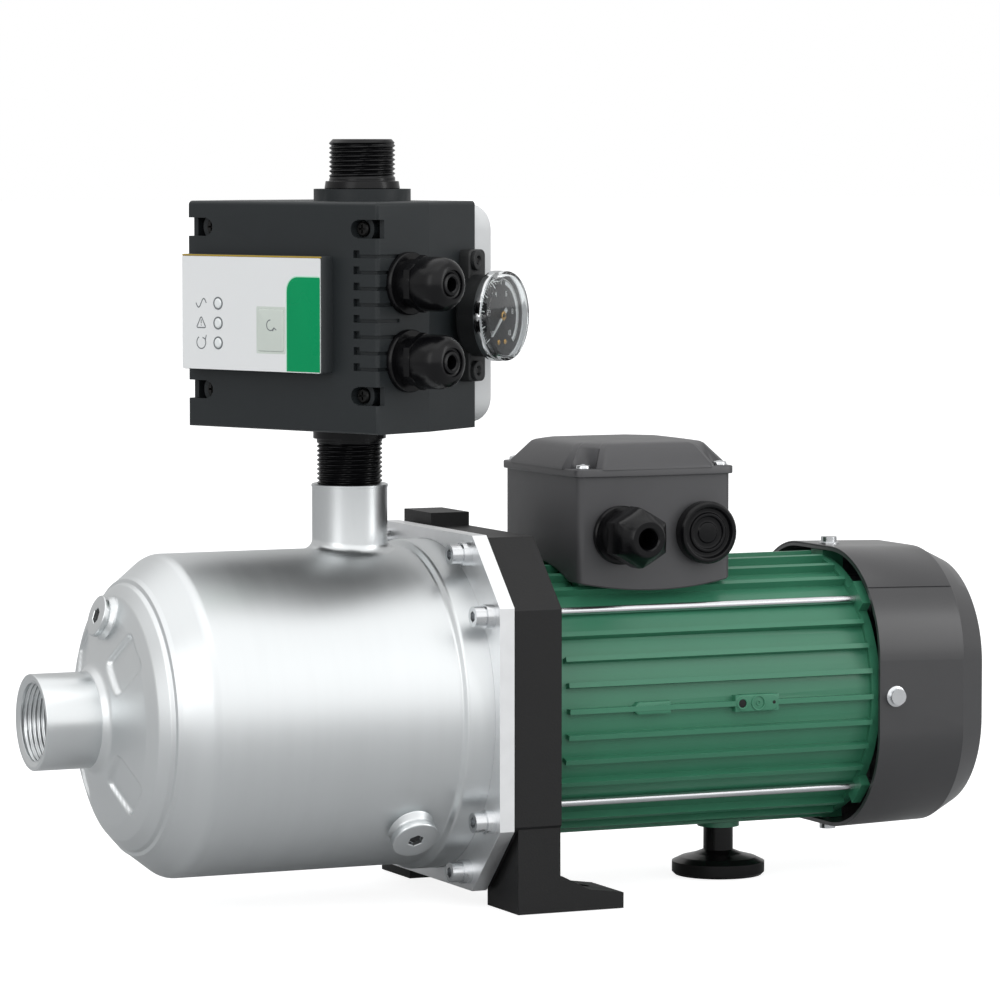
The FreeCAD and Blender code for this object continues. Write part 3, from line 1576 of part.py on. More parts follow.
# Cable gland and blanking plug in the terminal box's side: a nut inside the wall holds each
box_front = -s.box_half_width.value
gland_place = pointing((gland_x.value, box_front, s.entry_height.value), (0, -1, 0), SHAFT_LINE)
blank_place = pointing((blank_x.value, box_front, s.entry_height.value), (0, -1, 0), SHAFT_LINE)
nose_top = s.gland_nut_start + s.gland_nut_length + s.gland_nose_length
motor_gland = keep("motor_cable_gland", new_body("motor_cable_gland", gland_place))
revolve(
    motor_gland,
    [
        (s.gland_cable_radius, -s.box_wall - 5),
        (s.entry_bore, -s.box_wall - 5),
        (s.entry_bore, 0),
        (s.entry_boss_radius, 0),
        (s.entry_boss_radius, s.entry_boss_length),
        (s.gland_collar_radius, s.entry_boss_length),
        (s.gland_collar_radius, s.gland_nut_start),
        (s.gland_nut_flats / 2, s.gland_nut_start),
        (s.gland_nut_flats / 2, nose_top - s.gland_nose_length),
        (s.gland_nose_radius, nose_top),
        (s.gland_cable_radius, nose_top),
    ],
    upright=True,
)
nut_loops = [hex_loop(s.gland_nut_flats, 30), (0, 0, s.gland_nut_flats / 2 - 0.5)]
pad(motor_gland, "XY", nut_loops, s.gland_nut_start, s.gland_nut_length)
# The lock nut inside the box clears the box's floor
lock_nut_flats = 2 * (s.entry_height - box_floor) - 0.4
inner_nut = [hex_loop(lock_nut_flats), (0, 0, s.entry_bore - 0.2)]
pad(motor_gland, "XY", inner_nut, -s.box_wall - 4.5, 4.5)

blanking_plug = keep("blanking_plug", new_body("blanking_plug", blank_place))
revolve(
    blanking_plug,
    [
        (0, -s.box_wall - 5),
        (s.entry_bore, -s.box_wall - 5),
        (s.entry_bore, 0),
        (s.blank_radius, 0),
        (s.blank_radius, s.blank_length - 1.5),
        (s.blank_radius - 1.5, s.blank_length),
        (s.blank_radius - 5, s.blank_length),
        (s.blank_radius - 6, s.blank_length - 2.5),
        (0, s.blank_length - 2.5),
    ],
    upright=True,
)

# Control unit: its own frame has X along the front towards the glands, Y backwards, Z up from its bottom
unit_front = -s.unit_front
unit_back = unit_front + s.unit_black_depth
side_end = unit_front + s.unit_side_length
unit_middle = s.unit_height / 2


def unit_outline(inset, back):
    """The unit seen from above, drawn in by an inset: parallel sides that close in to the back."""
    half = s.unit_half_width - inset
    back_half = s.unit_back_half_width - inset
    front = unit_front + inset
    right = [(half, front), (half, side_end), (back_half, back)]
    return [(-half, front)] + right + [(-back_half, back), (-half, side_end)]


# Bottom nipple and valve chamber are one moulding, and the outlet nipple stands on the chamber
nipple_bottom = s.discharge_rise - s.nipple_engagement - s.unit_bottom
crown_top = s.unit_height + s.outlet_collar_rise
collar_top = crown_top + 3.9
outlet_top = collar_top + s.outlet_nipple_length


def make_flow_body():
    lower = new_body("flow_lower", "unit")
    revolve(
        lower,
        [
            (s.nipple_bore, nipple_bottom),
            (s.nipple_radius - 1.2, nipple_bottom),
            (s.nipple_radius, nipple_bottom + 1.2),
            (s.nipple_radius, -6.1),
            (s.unit_nipple_collar_radius, -6.1),
            (s.unit_nipple_collar_radius, s.unit_wall + 0.5),
            (s.chamber_outer_radius, s.unit_wall + 0.5),
            (s.chamber_outer_radius, s.chamber_top),
            (s.nipple_bore - 2, s.chamber_top),
            (s.nipple_bore - 2, s.chamber_top - 3),
            (s.chamber_bore, s.chamber_top - 3),
            (s.chamber_bore, s.chamber_bottom),
            (s.nipple_bore, s.chamber_bottom),
        ],
        upright=True,
    )
    guide = new_body("valve_guide", "unit")
    guide_bore = s.valve_stem_radius + s.valve_guide_gap
    guide_top = s.valve_guide_rise + 6
    revolve(guide, ring_loop_upright(guide_bore, 6.5, s.valve_guide_rise, guide_top), upright=True)
    arms = [
        box_loop(-2, 2, guide_bore + 1.5, s.chamber_bore + 1),
        box_loop(-2, 2, -s.chamber_bore - 1, -guide_bore - 1.5),
    ]
    pad(guide, "XY", arms, s.valve_guide_rise, 6)
    upper_place = UNIT_PLACE.multiply(Placement(Vector(s.outlet_offset.value, 0, 0), Rotation()))
    upper = keep("outlet_nipple", new_body("outlet_nipple", upper_place))
    revolve(
        upper,
        [
            (s.nipple_bore, s.chamber_top),
            (s.nipple_radius, s.chamber_top),
            (s.nipple_radius, crown_top),
            (s.unit_nipple_collar_radius + 0.6, crown_top),
            (s.unit_nipple_collar_radius, collar_top),
            (s.nipple_radius, collar_top),
            (s.nipple_radius, outlet_top - s.nipple_chamfer),
            (s.nipple_radius - s.nipple_chamfer, outlet_top),
            (s.nipple_bore, outlet_top),
        ],
        upright=True,
    )
    passage = new_body("flow_passage", upper_place)
    revolve(passage, ring_loop_upright(0, s.nipple_bore, s.chamber_top - 5, outlet_top + 2), upright=True)
    solid = doc.addObject("Part::MultiFuse", "flow_solid")
    solid.Shapes = [lower, guide]
    flow = doc.addObject("Part::Cut", "flow_body")
    flow.Base = solid
    flow.Tool = passage
    keep("flow_body", flow)


def ring_loop_upright(inner, outer, low, high):
    return [(inner, low), (outer, low), (outer, high), (inner, high)]


make_flow_body()

flow_valve = keep("flow_valve", new_body("flow_valve", "unit"))
disc_top = s.chamber_bottom + s.valve_thickness
revolve(
    flow_valve,
    [
        (0, s.chamber_bottom + 0.02),
        (s.valve_radius, s.chamber_bottom + 0.02),
        (s.valve_radius, disc_top - 1),
        (s.valve_radius - 1, disc_top),
        (s.valve_stem_radius, disc_top),
        (s.valve_stem_radius, disc_top + s.valve_stem_length),
        (0, disc_top + s.valve_stem_length),
    ],
    upright=True,
)


def make_spring():
    """The valve's spring, a helix of wire between the disc and the guide, its wire drawn with six sides."""
    length = (s.valve_guide_rise - disc_top).value
    wire = (s.valve_spring_wire / 2).value
    radius = s.valve_spring_radius.value
    path = Part.makeHelix((length - 2 * wire) / s.valve_spring_turns.value, length - 2 * wire, radius)
    corners = [
        Vector(radius + wire * math.cos(math.radians(60 * k)), 0, wire * math.sin(math.radians(60 * k)))
        for k in range(7)
    ]
    section = Part.makePolygon(corners)
    shape = Part.Wire(path.Edges).makePipeShell([section], True, True)
    seat = Placement(Vector(0, 0, disc_top.value + wire), Rotation())
    shaped("valve_spring", shape, UNIT_PLACE.multiply(seat))


make_spring()

GAUGE_PLACE = UNIT_PLACE.multiply(
    Placement(
        Vector(
            (s.unit_half_width - s.gauge_setback * sine(s.gauge_turn)).value,
            (side_end + s.gauge_setback * cosine(s.gauge_turn)).value,
            s.gauge_height.value,
        ),
        Rotation(
            Vector(-sine(s.gauge_turn).value, cosine(s.gauge_turn).value, 0),
            Vector(0, 0, 1),
            Vector(cosine(s.gauge_turn).value, sine(s.gauge_turn).value, 0),
            "ZXY",
        ),
    )
)
corner_screw_spots = [(side * (s.unit_half_width - s.corner_screw_inset), height) for side in (-1, 1)
                      for height in (s.corner_screw_low, s.corner_screw_high)]
side_gland_heights = [s.side_gland_low, s.side_gland_low + s.side_gland_spacing]
side_gland_y = unit_front + s.side_gland_setback
screw_seat = unit_front + s.corner_recess_depth + 1
panel_loop = box_loop(-s.panel_left, s.panel_right, s.panel_low, s.panel_high)


def make_unit_housing():
    """The black shell: open at the back, with posts for the corner screws and recesses at the sides."""
    shell = new_body("unit_shell", "unit")
    pad(shell, "XY", [unit_outline(0, unit_back)], 0, s.unit_height)
    soften(shell, s.unit_corner, outer_front_edge)
    hump = (s.outlet_offset, 0, s.unit_nipple_collar_radius + 6)
    pad(shell, "XY", [hump], s.unit_height - 1, s.outlet_collar_rise + 1)
    cavity = unit_outline(s.unit_wall, unit_back + 1)
    pocket(shell, "XY", [cavity], s.unit_height - s.unit_wall, s.unit_height - 2 * s.unit_wall)
    pad(shell, "XZ", [(across, up, 6.8) for across, up in corner_screw_spots], -side_end + 2, 24 + 9)
    pocket(shell, "XY", [(0, 0, s.unit_nipple_collar_radius)], s.unit_wall, s.unit_wall)
    outlet_hole = (s.outlet_offset, 0, s.nipple_radius)
    pocket(shell, "XY", [outlet_hole], crown_top, s.outlet_collar_rise + s.unit_wall + 1)
    for side in (-1, 1):
        across = side * (s.unit_half_width - s.corner_screw_inset)
        edge = side * (s.unit_half_width + 2)
        low, high = sorted((across, edge), key=lambda size: size.value)
        recesses = [
            box_loop(low, high, height - s.corner_recess_half, height + s.corner_recess_half)
            for height in (s.corner_screw_low, s.corner_screw_high)
        ]
        pocket(shell, "XZ", recesses, s.unit_front, s.corner_recess_depth)
    holes = [(across, up, s.corner_hole_radius) for across, up in corner_screw_spots]
    pocket(shell, "XZ", holes, s.unit_front, s.corner_recess_depth + 1)
    bores = [(across, up, 2) for across, up in corner_screw_spots]
    pocket(shell, "XZ", bores, s.unit_front, 26)
    window = box_loop(-s.panel_left + 4, s.panel_right - 4, s.panel_low + 4, s.panel_high - 4)
    pocket(shell, "XZ", [window], s.unit_front, s.unit_wall + 0.5)
    heights = [s.vent_low + k * s.vent_step for k in range(VENT_GROOVES)]
    low = s.vent_offset - 2
    high = s.vent_offset + 2
    notches = [box_loop(low, high, height, height + s.vent_height + 2) for height in heights]
    pocket(shell, "XZ", notches, s.unit_front, s.vent_notch_depth - 1)
    edge = s.unit_half_width + 1
    grooves = [box_loop(s.vent_offset, edge, height, height + s.vent_height) for height in heights]
    pocket(shell, "XZ", grooves, s.unit_front, s.vent_groove_depth)
    wrap_end = unit_front + s.vent_wrap
    wraps = [box_loop(unit_front - 1, wrap_end, height, height + s.vent_height) for height in heights]
    pocket(shell, "YZ", wraps, s.unit_half_width, s.vent_groove_depth)
    glands = [(side_gland_y, height, s.side_gland_body_radius - 3) for height in side_gland_heights]
    pocket(shell, "YZ", glands, s.unit_half_width, s.unit_wall + 1)
    stem_hole = new_body("gauge_stem_hole", GAUGE_PLACE)
    pad(stem_hole, "XY", [(0, 0, s.gauge_stem_radius)], -10, 20)
    housing = doc.addObject("Part::Cut", "unit_housing")
    housing.Base = shell
    housing.Tool = stem_hole
    keep("unit_housing", housing)


def outer_front_edge(edge):
    """Says whether an edge of the plain block belongs to the outline of its front or top."""
    centre = edge.CenterOfMass
    at_front = abs(centre.y - unit_front.value) < 0.01
    on_top = abs(centre.z - s.unit_height.value) < 0.01 and centre.y < unit_back.value - 0.01
    upright_side = upright_edge(edge) and centre.y < side_end.value + 0.01
    return at_front or on_top or upright_side


make_unit_housing()

rear_cover = keep("unit_rear_cover", new_body("unit_rear_cover", "unit"))
cover_loop = box_loop(
    -s.rear_cover_half_width,
    s.rear_cover_half_width,
    unit_middle - s.rear_cover_half_height,
    unit_middle + s.rear_cover_half_height,
)
cover_inner = box_loop(
    -s.rear_cover_half_width + 3,
    s.rear_cover_half_width - 3,
    unit_middle - s.rear_cover_half_height + 3,
    unit_middle + s.rear_cover_half_height - 3,
)
pad(rear_cover, "XZ", [cover_loop], -unit_back - s.rear_cover_depth, s.rear_cover_depth)
soften(
    rear_cover,
    s.rear_cover_corner,
    lambda edge: len(edge.Vertexes) == 2 and abs(edge.tangentAt(edge.FirstParameter).y) > 0.99,
)
soften(rear_cover, 3, lambda edge: abs(edge.BoundBox.YMin - (unit_back + s.rear_cover_depth).value) < 0.01)
pocket(rear_cover, "XZ", [cover_inner], -unit_back, s.rear_cover_depth - 3)

unit_screw = new_body("unit_screw", Placement())
revolve(
    unit_screw,
    [(0, -19), (2, -19), (2, 0), (3.6, 0), (3.6, 1.8), (3.0, 2.4), (0, 2.4)],
    upright=True,
)
cross = [(0.5, 0.5), (0.5, 2.2), (-0.5, 2.2), (-0.5, 0.5), (-2.2, 0.5), (-2.2, -0.5)]
cross += [(-0.5, -0.5), (-0.5, -2.2), (0.5, -2.2), (0.5, -0.5), (2.2, -0.5), (2.2, 0.5)]
pocket(unit_screw, "XY", [cross], 2.4, 1.4)
set_out(
    "unit_screws",
    unit_screw,
    [
        pointing((across.value, screw_seat.value, up.value), (0, -1, 0), UNIT_PLACE)
        for across, up in corner_screw_spots
    ],
)

# Front panel with its button, three lights and the board behind
button_low_x = s.button_left
button_high_x = s.button_left + s.button_width
button_high = s.button_low + s.button_height
light_heights = [s.light_low + k * s.light_step for k in range(LIGHTS)]
panel_front = s.unit_front + s.panel_proud
front_panel = keep("front_panel", new_body("front_panel", "unit"))
pad(front_panel, "XZ", [panel_loop], s.unit_front, s.panel_proud)
soften(front_panel, 1.0, lambda edge: abs(edge.BoundBox.YMax + panel_front.value) < 0.01)
hollow = box_loop(-s.panel_left + 2.5, s.panel_right - 2.5, s.panel_low + 2.5, s.panel_high - 2.5)
hollow_cut = front_panel.newObject("PartDesign::Pocket", "front_panel_hollow")
hollow_cut.Profile = drawing(front_panel, "XZ", [hollow], s.unit_front)
hollow_cut.Reversed = True
hollow_cut.setExpression("Length", (s.panel_proud - 2.5).text)
button_hole = box_loop(
    button_low_x - s.button_gap,
    button_high_x + s.button_gap,
    s.button_low - s.button_gap,
    button_high + s.button_gap,
)
light_loops = [(-s.light_offset, height, s.light_radius) for height in light_heights]
pocket(front_panel, "XZ", [button_hole] + light_loops, panel_front, 4)

reset_button = keep("reset_button", new_body("reset_button", "unit"))
cap = box_loop(button_low_x, button_high_x, s.button_low, button_high)
flange = box_loop(button_low_x - 1.5, button_high_x + 1.5, s.button_low - 1.5, button_high + 1.5)
pad(reset_button, "XZ", [cap], panel_front - 3.2, 3.2 + s.button_face)
soften(reset_button, 0.6, lambda edge: abs(edge.BoundBox.YMax + (panel_front + s.button_face).value) < 0.01)
pad(reset_button, "XZ", [flange], panel_front - 4.2, 1.6)
button_x = (button_low_x + button_high_x) / 2
button_z = (s.button_low + button_high) / 2
board_front = s.unit_front - s.board_setback
stem_start = board_front + 3.5 + s.button_travel
pad(reset_button, "XZ", [(button_x, button_z, 2)], stem_start, panel_front - 4 - stem_start)

led_lens = new_body("led_lens", Placement())
lens_outline = [(0, -7), (s.light_radius, -7), (s.light_radius, 0.2), (s.light_radius - 0.6, 0.6), (0, 0.6)]
revolve(led_lens, lens_outline, upright=True)
set_out(
    "led_lenses",
    led_lens,
    [
        pointing((-s.light_offset.value, -panel_front.value, height.value), (0, -1, 0), UNIT_PLACE)
        for height in light_heights
    ],
)

circuit_board = keep("circuit_board", new_body("circuit_board", "unit"))
board_loop = box_loop(-s.panel_left + 6, s.panel_right - 6, s.panel_low + 5, s.panel_high - 5)
board_holes = [(-s.panel_left + 9, s.panel_low + 8, 1.5), (s.panel_right - 9, s.panel_high - 8, 1.5)]
pad(circuit_board, "XZ", [board_loop] + board_holes, board_front - s.board_thickness, s.board_thickness)
switch = box_loop(button_x - 3, button_x + 3, button_z - 3, button_z + 3)
pad(circuit_board, "XZ", [switch], board_front - 0.2, 3.5 + 0.2)
relays = [box_loop(-50, -34, 62, 78), box_loop(-26, -14, 40, 66), box_loop(14, 26, 42, 70)]
pad(circuit_board, "XZ", relays, board_front - s.board_thickness - 12, 12.2)
light_bodies = [(-s.light_offset, height, 2) for height in light_heights]
pad(circuit_board, "XZ", light_bodies, board_front - 0.2, panel_front - 8 - board_front + 0.2)

# Glands on the unit's side
side_gland = new_body("side_gland", Placement())
revolve(
    side_gland,
    [
        (s.side_gland_bore, -s.unit_wall - 6),
        (s.side_gland_body_radius - 3, -s.unit_wall - 6),
        (s.side_gland_body_radius - 3, 0),
        (s.side_gland_base_radius, 0),
        (s.side_gland_base_radius, s.side_gland_base_length),
        (s.side_gland_body_radius, s.side_gland_base_length),
        (s.side_gland_body_radius, s.side_gland_body_length),
        (s.side_gland_nut_radius, s.side_gland_body_length),
        (s.side_gland_nut_radius, s.side_gland_nut_length),
        (s.side_gland_nut_radius - 2, s.side_gland_nut_length + 5),
        (s.side_gland_nut_radius - 6, s.side_gland_nut_length + 7.5),
        (s.side_gland_bore, s.side_gland_nut_length + 8),
    ],
    upright=True,
)
set_out(
    "unit_glands",
    side_gland,
    [
        pointing((s.unit_half_width.value, side_gland_y.value, height.value), (1, 0, 0), UNIT_PLACE)
        for height in side_gland_heights
    ],
)

# Pressure gauge on the unit's turned side: X to the right as one reads it, Y up, Z out of the side
gauge_case = keep("gauge_case", new_body("gauge_case", GAUGE_PLACE))
plate_half = s.gauge_plate_half_height
pad(gauge_case, "XY", [box_loop(-8.5, 8.5, -plate_half, plate_half)], 0.02, s.gauge_plate_thickness)
revolve(
    gauge_case,
    [
        (0, -s.gauge_stem_length),
        (s.gauge_stem_radius, -s.gauge_stem_length),
        (s.gauge_stem_radius, s.gauge_plate_thickness - 2),
        (s.gauge_case_radius, s.gauge_plate_thickness - 2),
        (s.gauge_case_radius, s.gauge_dial_rise - 3),
        (s.gauge_rim_radius, s.gauge_dial_rise - 3),
        (s.gauge_rim_radius, s.gauge_dial_rise + 1),
        (s.gauge_rim_radius - 1, s.gauge_dial_rise + 1),
        (s.gauge_rim_radius - 1, s.gauge_dial_rise),
        (s.pointer_pin_radius, s.gauge_dial_rise),
        (s.pointer_pin_radius, s.gauge_dial_rise + 2.2),
        (0, s.gauge_dial_rise + 2.2),
    ],
    upright=True,
)
lugs = [(-2.5, side * s.gauge_lug_offset, s.gauge_lug_radius) for side in (-1, 1)]
pad(gauge_case, "XY", lugs, s.gauge_plate_thickness - 0.01, 2)
gauge_lens = keep("gauge_lens", new_body("gauge_lens", GAUGE_PLACE))
lens_front = s.gauge_dial_rise + s.gauge_lens_depth
revolve(
    gauge_lens,
    [
        (0, lens_front - s.gauge_lens_wall),
        (s.gauge_rim_radius - 2.4, lens_front - s.gauge_lens_wall),
        (s.gauge_rim_radius - 2.4, s.gauge_dial_rise),
        (s.gauge_rim_radius - 1, s.gauge_dial_rise),
        (s.gauge_rim_radius - 1, s.gauge_dial_rise + 1),
        (s.gauge_rim_radius, s.gauge_dial_rise + 1),
        (s.gauge_rim_radius, lens_front - 1),
        (s.gauge_rim_radius - 1, lens_front),
        (0, lens_front),
    ],
    upright=True,
)
pointer_place = GAUGE_PLACE.multiply(
    Placement(
        Vector(0, 0, (s.gauge_dial_rise + 0.4).value), Rotation(Vector(0, 0, 1), s.pointer_zero_angle.value)
    )
)
gauge_pointer = keep("gauge_pointer", new_body("gauge_pointer", pointer_place))
pin_bore = s.pointer_pin_radius + 0.05
pointer_half = s.pointer_width / 2
needle = [
    (-s.pointer_tail, -pointer_half),
    (s.pointer_length - 3, -pointer_half),
    (s.pointer_length, 0),
    (s.pointer_length - 3, pointer_half),
    (-s.pointer_tail, pointer_half),
]
pad(gauge_pointer, "XY", [needle], 0.3, s.pointer_thickness)
pad(gauge_pointer, "XY", [(0, 0, s.pointer_hub_radius)], 0, 1.4)
pocket(gauge_pointer, "XY", [(0, 0, pin_bore)], 2, 3)

# Everything is worked out once more and looked over before any file is written
doc.recompute()
for thing in doc.Objects:
    if "Invalid" in thing.State or "Error" in thing.State:
        raise RuntimeError(f"{thing.Label} is not well formed: {thing.State}")
for label, thing in nodes.items():
    if thing.Shape.isNull() or not thing.Shape.isValid():
        raise RuntimeError(f"{label} has no valid shape")
os.makedirs("parts", exist_ok=True)
for label, thing in nodes.items():
    thing.Shape.exportStep(f"parts/{label}.step")
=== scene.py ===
# %% [markdown]
# # A booster pump set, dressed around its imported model
# The set is a multistage pump in a pressed steel casing, a ribbed electric motor behind it on the same
# shaft, and a pressure control unit on the outlet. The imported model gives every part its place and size.
# This lesson adds what the eye expects: threads, rounded edges, cast grain, moulded plastic and a dial
# that can be read.

# %% The frame
import math

import bmesh
import bpy
import numpy as np
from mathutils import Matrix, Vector


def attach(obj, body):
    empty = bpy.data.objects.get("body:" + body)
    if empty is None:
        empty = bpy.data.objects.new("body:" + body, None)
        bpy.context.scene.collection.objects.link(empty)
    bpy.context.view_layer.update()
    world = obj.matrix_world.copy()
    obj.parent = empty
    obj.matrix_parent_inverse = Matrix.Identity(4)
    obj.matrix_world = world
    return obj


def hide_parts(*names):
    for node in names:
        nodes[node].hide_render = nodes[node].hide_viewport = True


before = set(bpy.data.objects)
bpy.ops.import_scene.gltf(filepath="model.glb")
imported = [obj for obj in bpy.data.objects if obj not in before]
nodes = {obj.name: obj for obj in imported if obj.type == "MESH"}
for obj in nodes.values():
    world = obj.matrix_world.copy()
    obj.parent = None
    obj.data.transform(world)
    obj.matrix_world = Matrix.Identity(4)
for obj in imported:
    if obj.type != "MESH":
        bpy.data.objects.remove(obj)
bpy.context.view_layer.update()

print("parts in the frame:", len(nodes))

# %% [markdown]
# ## Places
# Sizes below are in millimetres, because that is how the parts are made, and each surface is turned to
# metres when it becomes a mesh. A place is an origin and three directions: a surface is worked out in simple
# coordinates of its own, then set out in its place. The shaft line, the unit and the gauge each have one.


# %% Places on the set
def place(origin, across, up):
    """An origin and three directions at right angles: across, up, and out, which is their cross product."""
    across = np.asarray(across, float) / np.linalg.norm(across)
    up = np.asarray(up, float) / np.linalg.norm(up)
    return np.asarray(origin, float), np.array([across, up, np.cross(across, up)])


def moved(spot, offset):
    """The same directions, with the origin moved by an offset given in them."""
    return spot[0] + np.asarray(offset, float) @ spot[1], spot[1]


def set_out(spot, points):
    """Turns points in a place's coordinates to the model's: the origin plus each along its direction."""
    return spot[0] + np.asarray(points, float) @ spot[1]


AXIS_HEIGHT = 98.0
OUTLET_X = -97.3
UNIT_BASE = 240.4
UNIT_FRONT = 50.0
UNIT_SIDE = 65.0
UNIT_TURN = math.radians(24.6)
UNIT_WIDTHWAYS = np.array([math.sin(UNIT_TURN), -math.cos(UNIT_TURN), 0.0])
UNIT_BACKWARDS = np.array([math.cos(UNIT_TURN), math.sin(UNIT_TURN), 0.0])
UP = np.array([0.0, 0.0, 1.0])
ALONG = np.array([1.0, 0.0, 0.0])
SIDEWAYS = np.array([0.0, 1.0, 0.0])

shaft_line = place((0, 0, AXIS_HEIGHT), SIDEWAYS, UP)
unit_upright = place((OUTLET_X, 0, UNIT_BASE), UNIT_WIDTHWAYS, UNIT_BACKWARDS)
unit_front = place(set_out(unit_upright, (0, -UNIT_FRONT, 0)), UNIT_WIDTHWAYS, UP)
GAUGE_TURN = math.radians(13)
GAUGE_SETBACK = 39.4
gauge_right = -math.sin(GAUGE_TURN) * UNIT_WIDTHWAYS + math.cos(GAUGE_TURN) * UNIT_BACKWARDS
gauge_corner = set_out(unit_upright, (UNIT_SIDE, -12.2, 56.5))
gauge = place(gauge_corner + gauge_right * GAUGE_SETBACK, gauge_right, UP)
print("gauge centre, mm:", np.round(gauge[0], 1))

# %% [markdown]
# ## Surfaces
# Nearly every piece is a row of rings: the outline of a turned part at each step along its profile, or the
# outline of a moulded part as it goes up and draws in. One function joins such rings into a closed mesh, so
# a piece is described only by arrays. Faces must point outwards, and the volume's sign tells whether they do.


# %% Rings to a mesh
def signed_volume(points, triangles):
    """A sixth of the corners' triple products, summed: positive when the faces point outwards."""
    a, b, c = (points[triangles[:, k]] for k in range(3))
    return np.einsum("ij,ij->i", a, np.cross(b, c)).sum() / 6


def skin(name, rings, spot, body="pump_set", closed=False, sharp=40.0):
    """Joins rings of equally many points in a row; the ends are capped unless the row is closed."""
    rings = np.asarray(rings, float)
    rows, around = rings.shape[:2]
    points = set_out(spot, rings.reshape(-1, 3)) * 0.001
    row = np.arange(rows if closed else rows - 1)
    step = np.arange(around)
    here, across = np.meshgrid(row, step, indexing="ij")
    after, beside = (here + 1) % rows, (across + 1) % around
    quads = np.stack([here * around + across, here * around + beside, after * around + beside,
                      after * around + across], -1).reshape(-1, 4)
    triangles = np.concatenate([quads[:, [0, 1, 2]], quads[:, [0, 2, 3]]])
    caps = []
    if not closed:
        first, last = step[::-1], step + (rows - 1) * around
        fans = [np.stack([np.full(around - 2, cap[0]), cap[1:-1], cap[2:]], -1) for cap in (first, last)]
        triangles = np.concatenate([triangles] + fans)
        caps = [first, last]
    if signed_volume(points, triangles) < 0:
        quads = quads[:, ::-1]
        caps = [cap[::-1] for cap in caps]
    faces = quads.tolist() + [cap.tolist() for cap in caps]
    return finished(name, points, faces, body, sharp)


def finished(name, points, faces, body, sharp):
    """Makes the object, shades it smooth but for edges over the sharp angle, and seats it on its body."""
    mesh = bpy.data.meshes.new(name)
    mesh.from_pydata(points.tolist(), [], faces)
    mesh.polygons.foreach_set("use_smooth", np.ones(len(mesh.polygons), bool))
    mesh.set_sharp_from_angle(angle=math.radians(sharp))
    mesh.update()
    piece = bpy.data.objects.new(name, mesh)
    bpy.context.scene.collection.objects.link(piece)
    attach(piece, body)
    return piece


# %% [markdown]
# ## Outlines
# A sharp corner never looks real, because tools and moulds leave a small radius that catches the light. So an
# outline is given by its corners and the radius at each one, and the rounding is worked out.


# %% Rounded outlines
def rounded(corners, radii, closed=True, steps=6):
    """Replaces each corner by an arc of its radius that touches both sides, or of the largest that fits."""
    corners = np.asarray(corners, float)
    count = len(corners)
    radii = np.broadcast_to(np.asarray(radii, float), count)
    out = []
    for k in range(count):
        corner = corners[k]
        if not closed and k in (0, count - 1) or radii[k] <= 0:
            out.append(corner[None])
            continue
        before, after = corners[k - 1] - corner, corners[(k + 1) % count] - corner
        reach_before, reach_after = np.linalg.norm(before), np.linalg.norm(after)
        before, after = before / reach_before, after / reach_after
        half = math.acos(np.clip(before @ after, -1, 1)) / 2
        if half > 1.55:
            out.append(corner[None])
            continue
        reach = min(radii[k] / math.tan(half), reach_before * 0.48, reach_after * 0.48)
        radius = reach * math.tan(half)
        middle = (before + after) / np.linalg.norm(before + after)
        centre = corner + middle * radius / math.sin(half)
        start, end = corner + before * reach - centre, corner + after * reach - centre
        turn = np.linspace(0, 1, steps + 1)[:, None]
        swing = math.pi - 2 * half
        arc = (np.sin((1 - turn) * swing) * start + np.sin(turn * swing) * end) / math.sin(swing)
        out.append(centre + arc)
    return np.concatenate(out)


# %% [markdown]
# ## Turned and moulded forms
# A turned part is a profile swept round its middle, as a lathe leaves it. A moulded part is an outline that
# goes up in levels and draws in at its upper edge, because a mould needs draft and its edges are eased.


# %% Lathe and mould
def circle(radius, count):
    """Points at equal angles round the middle."""
    angle = np.arange(count) / count * 2 * np.pi
    return np.stack([radius * np.cos(angle), radius * np.sin(angle)], -1)


def at_height(outline, height):
    """A flat outline lifted to a height."""
    return np.concatenate([outline, np.full((len(outline), 1), float(height))], -1)


def turned(name, profile, spot, body="pump_set", radii=0.4, around=96, closed=False):
    """A lathe's work: each profile point (along, radius) swept round the place's third direction."""
    line = rounded(profile, radii, closed=closed, steps=4)
    angle = np.arange(around) / around * 2 * np.pi
    along, radius = line[:, :1], np.maximum(line[:, 1:], 0.02)
    rings = np.stack([radius * np.cos(angle), radius * np.sin(angle),
                      np.broadcast_to(along, (len(line), around))], -1)
    return skin(name, rings, spot, body, closed=closed)


def drawn_in(outline, inset):
    """Moves each point of a closed outline inwards, along the mean of its two sides' normals."""
    before = outline - np.roll(outline, 1, 0)
    after = np.roll(outline, -1, 0) - outline
    normals = []
    for side in (before, after):
        length = np.maximum(np.linalg.norm(side, axis=1, keepdims=True), 1e-9)
        normals.append(np.stack([side[:, 1], -side[:, 0]], -1) / length)
    mean = normals[0] + normals[1]
    mean /= np.maximum((mean * normals[0]).sum(1, keepdims=True), 0.25)
    return outline - mean * np.asarray(inset, float)


def moulded(name, outline, levels, spot, body="pump_set", sharp=40.0):
    """An outline carried up through levels of (height, inset): a mould's draft and rounded edges."""
    rings = [at_height(drawn_in(outline, inset), height) for height, inset in levels]
    return skin(name, rings, spot, body, sharp=sharp)


def eased(bottom, top, radius, steps=5):
    """Levels of a block whose upper edge is rounded: the inset follows a quarter circle."""
    turn = np.linspace(0, np.pi / 2, steps + 1)
    rise = top - radius + radius * np.sin(turn)
    return [(bottom, 0.0)] + list(zip(rise, radius * (1 - np.cos(turn))))


# %% [markdown]
# ## Joined and bevelled pieces
# Small forms of one piece are joined to one mesh, so that they move and export as one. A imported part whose
# form is right gets its edges bevelled on a merged copy, because its own mesh is loose triangles.


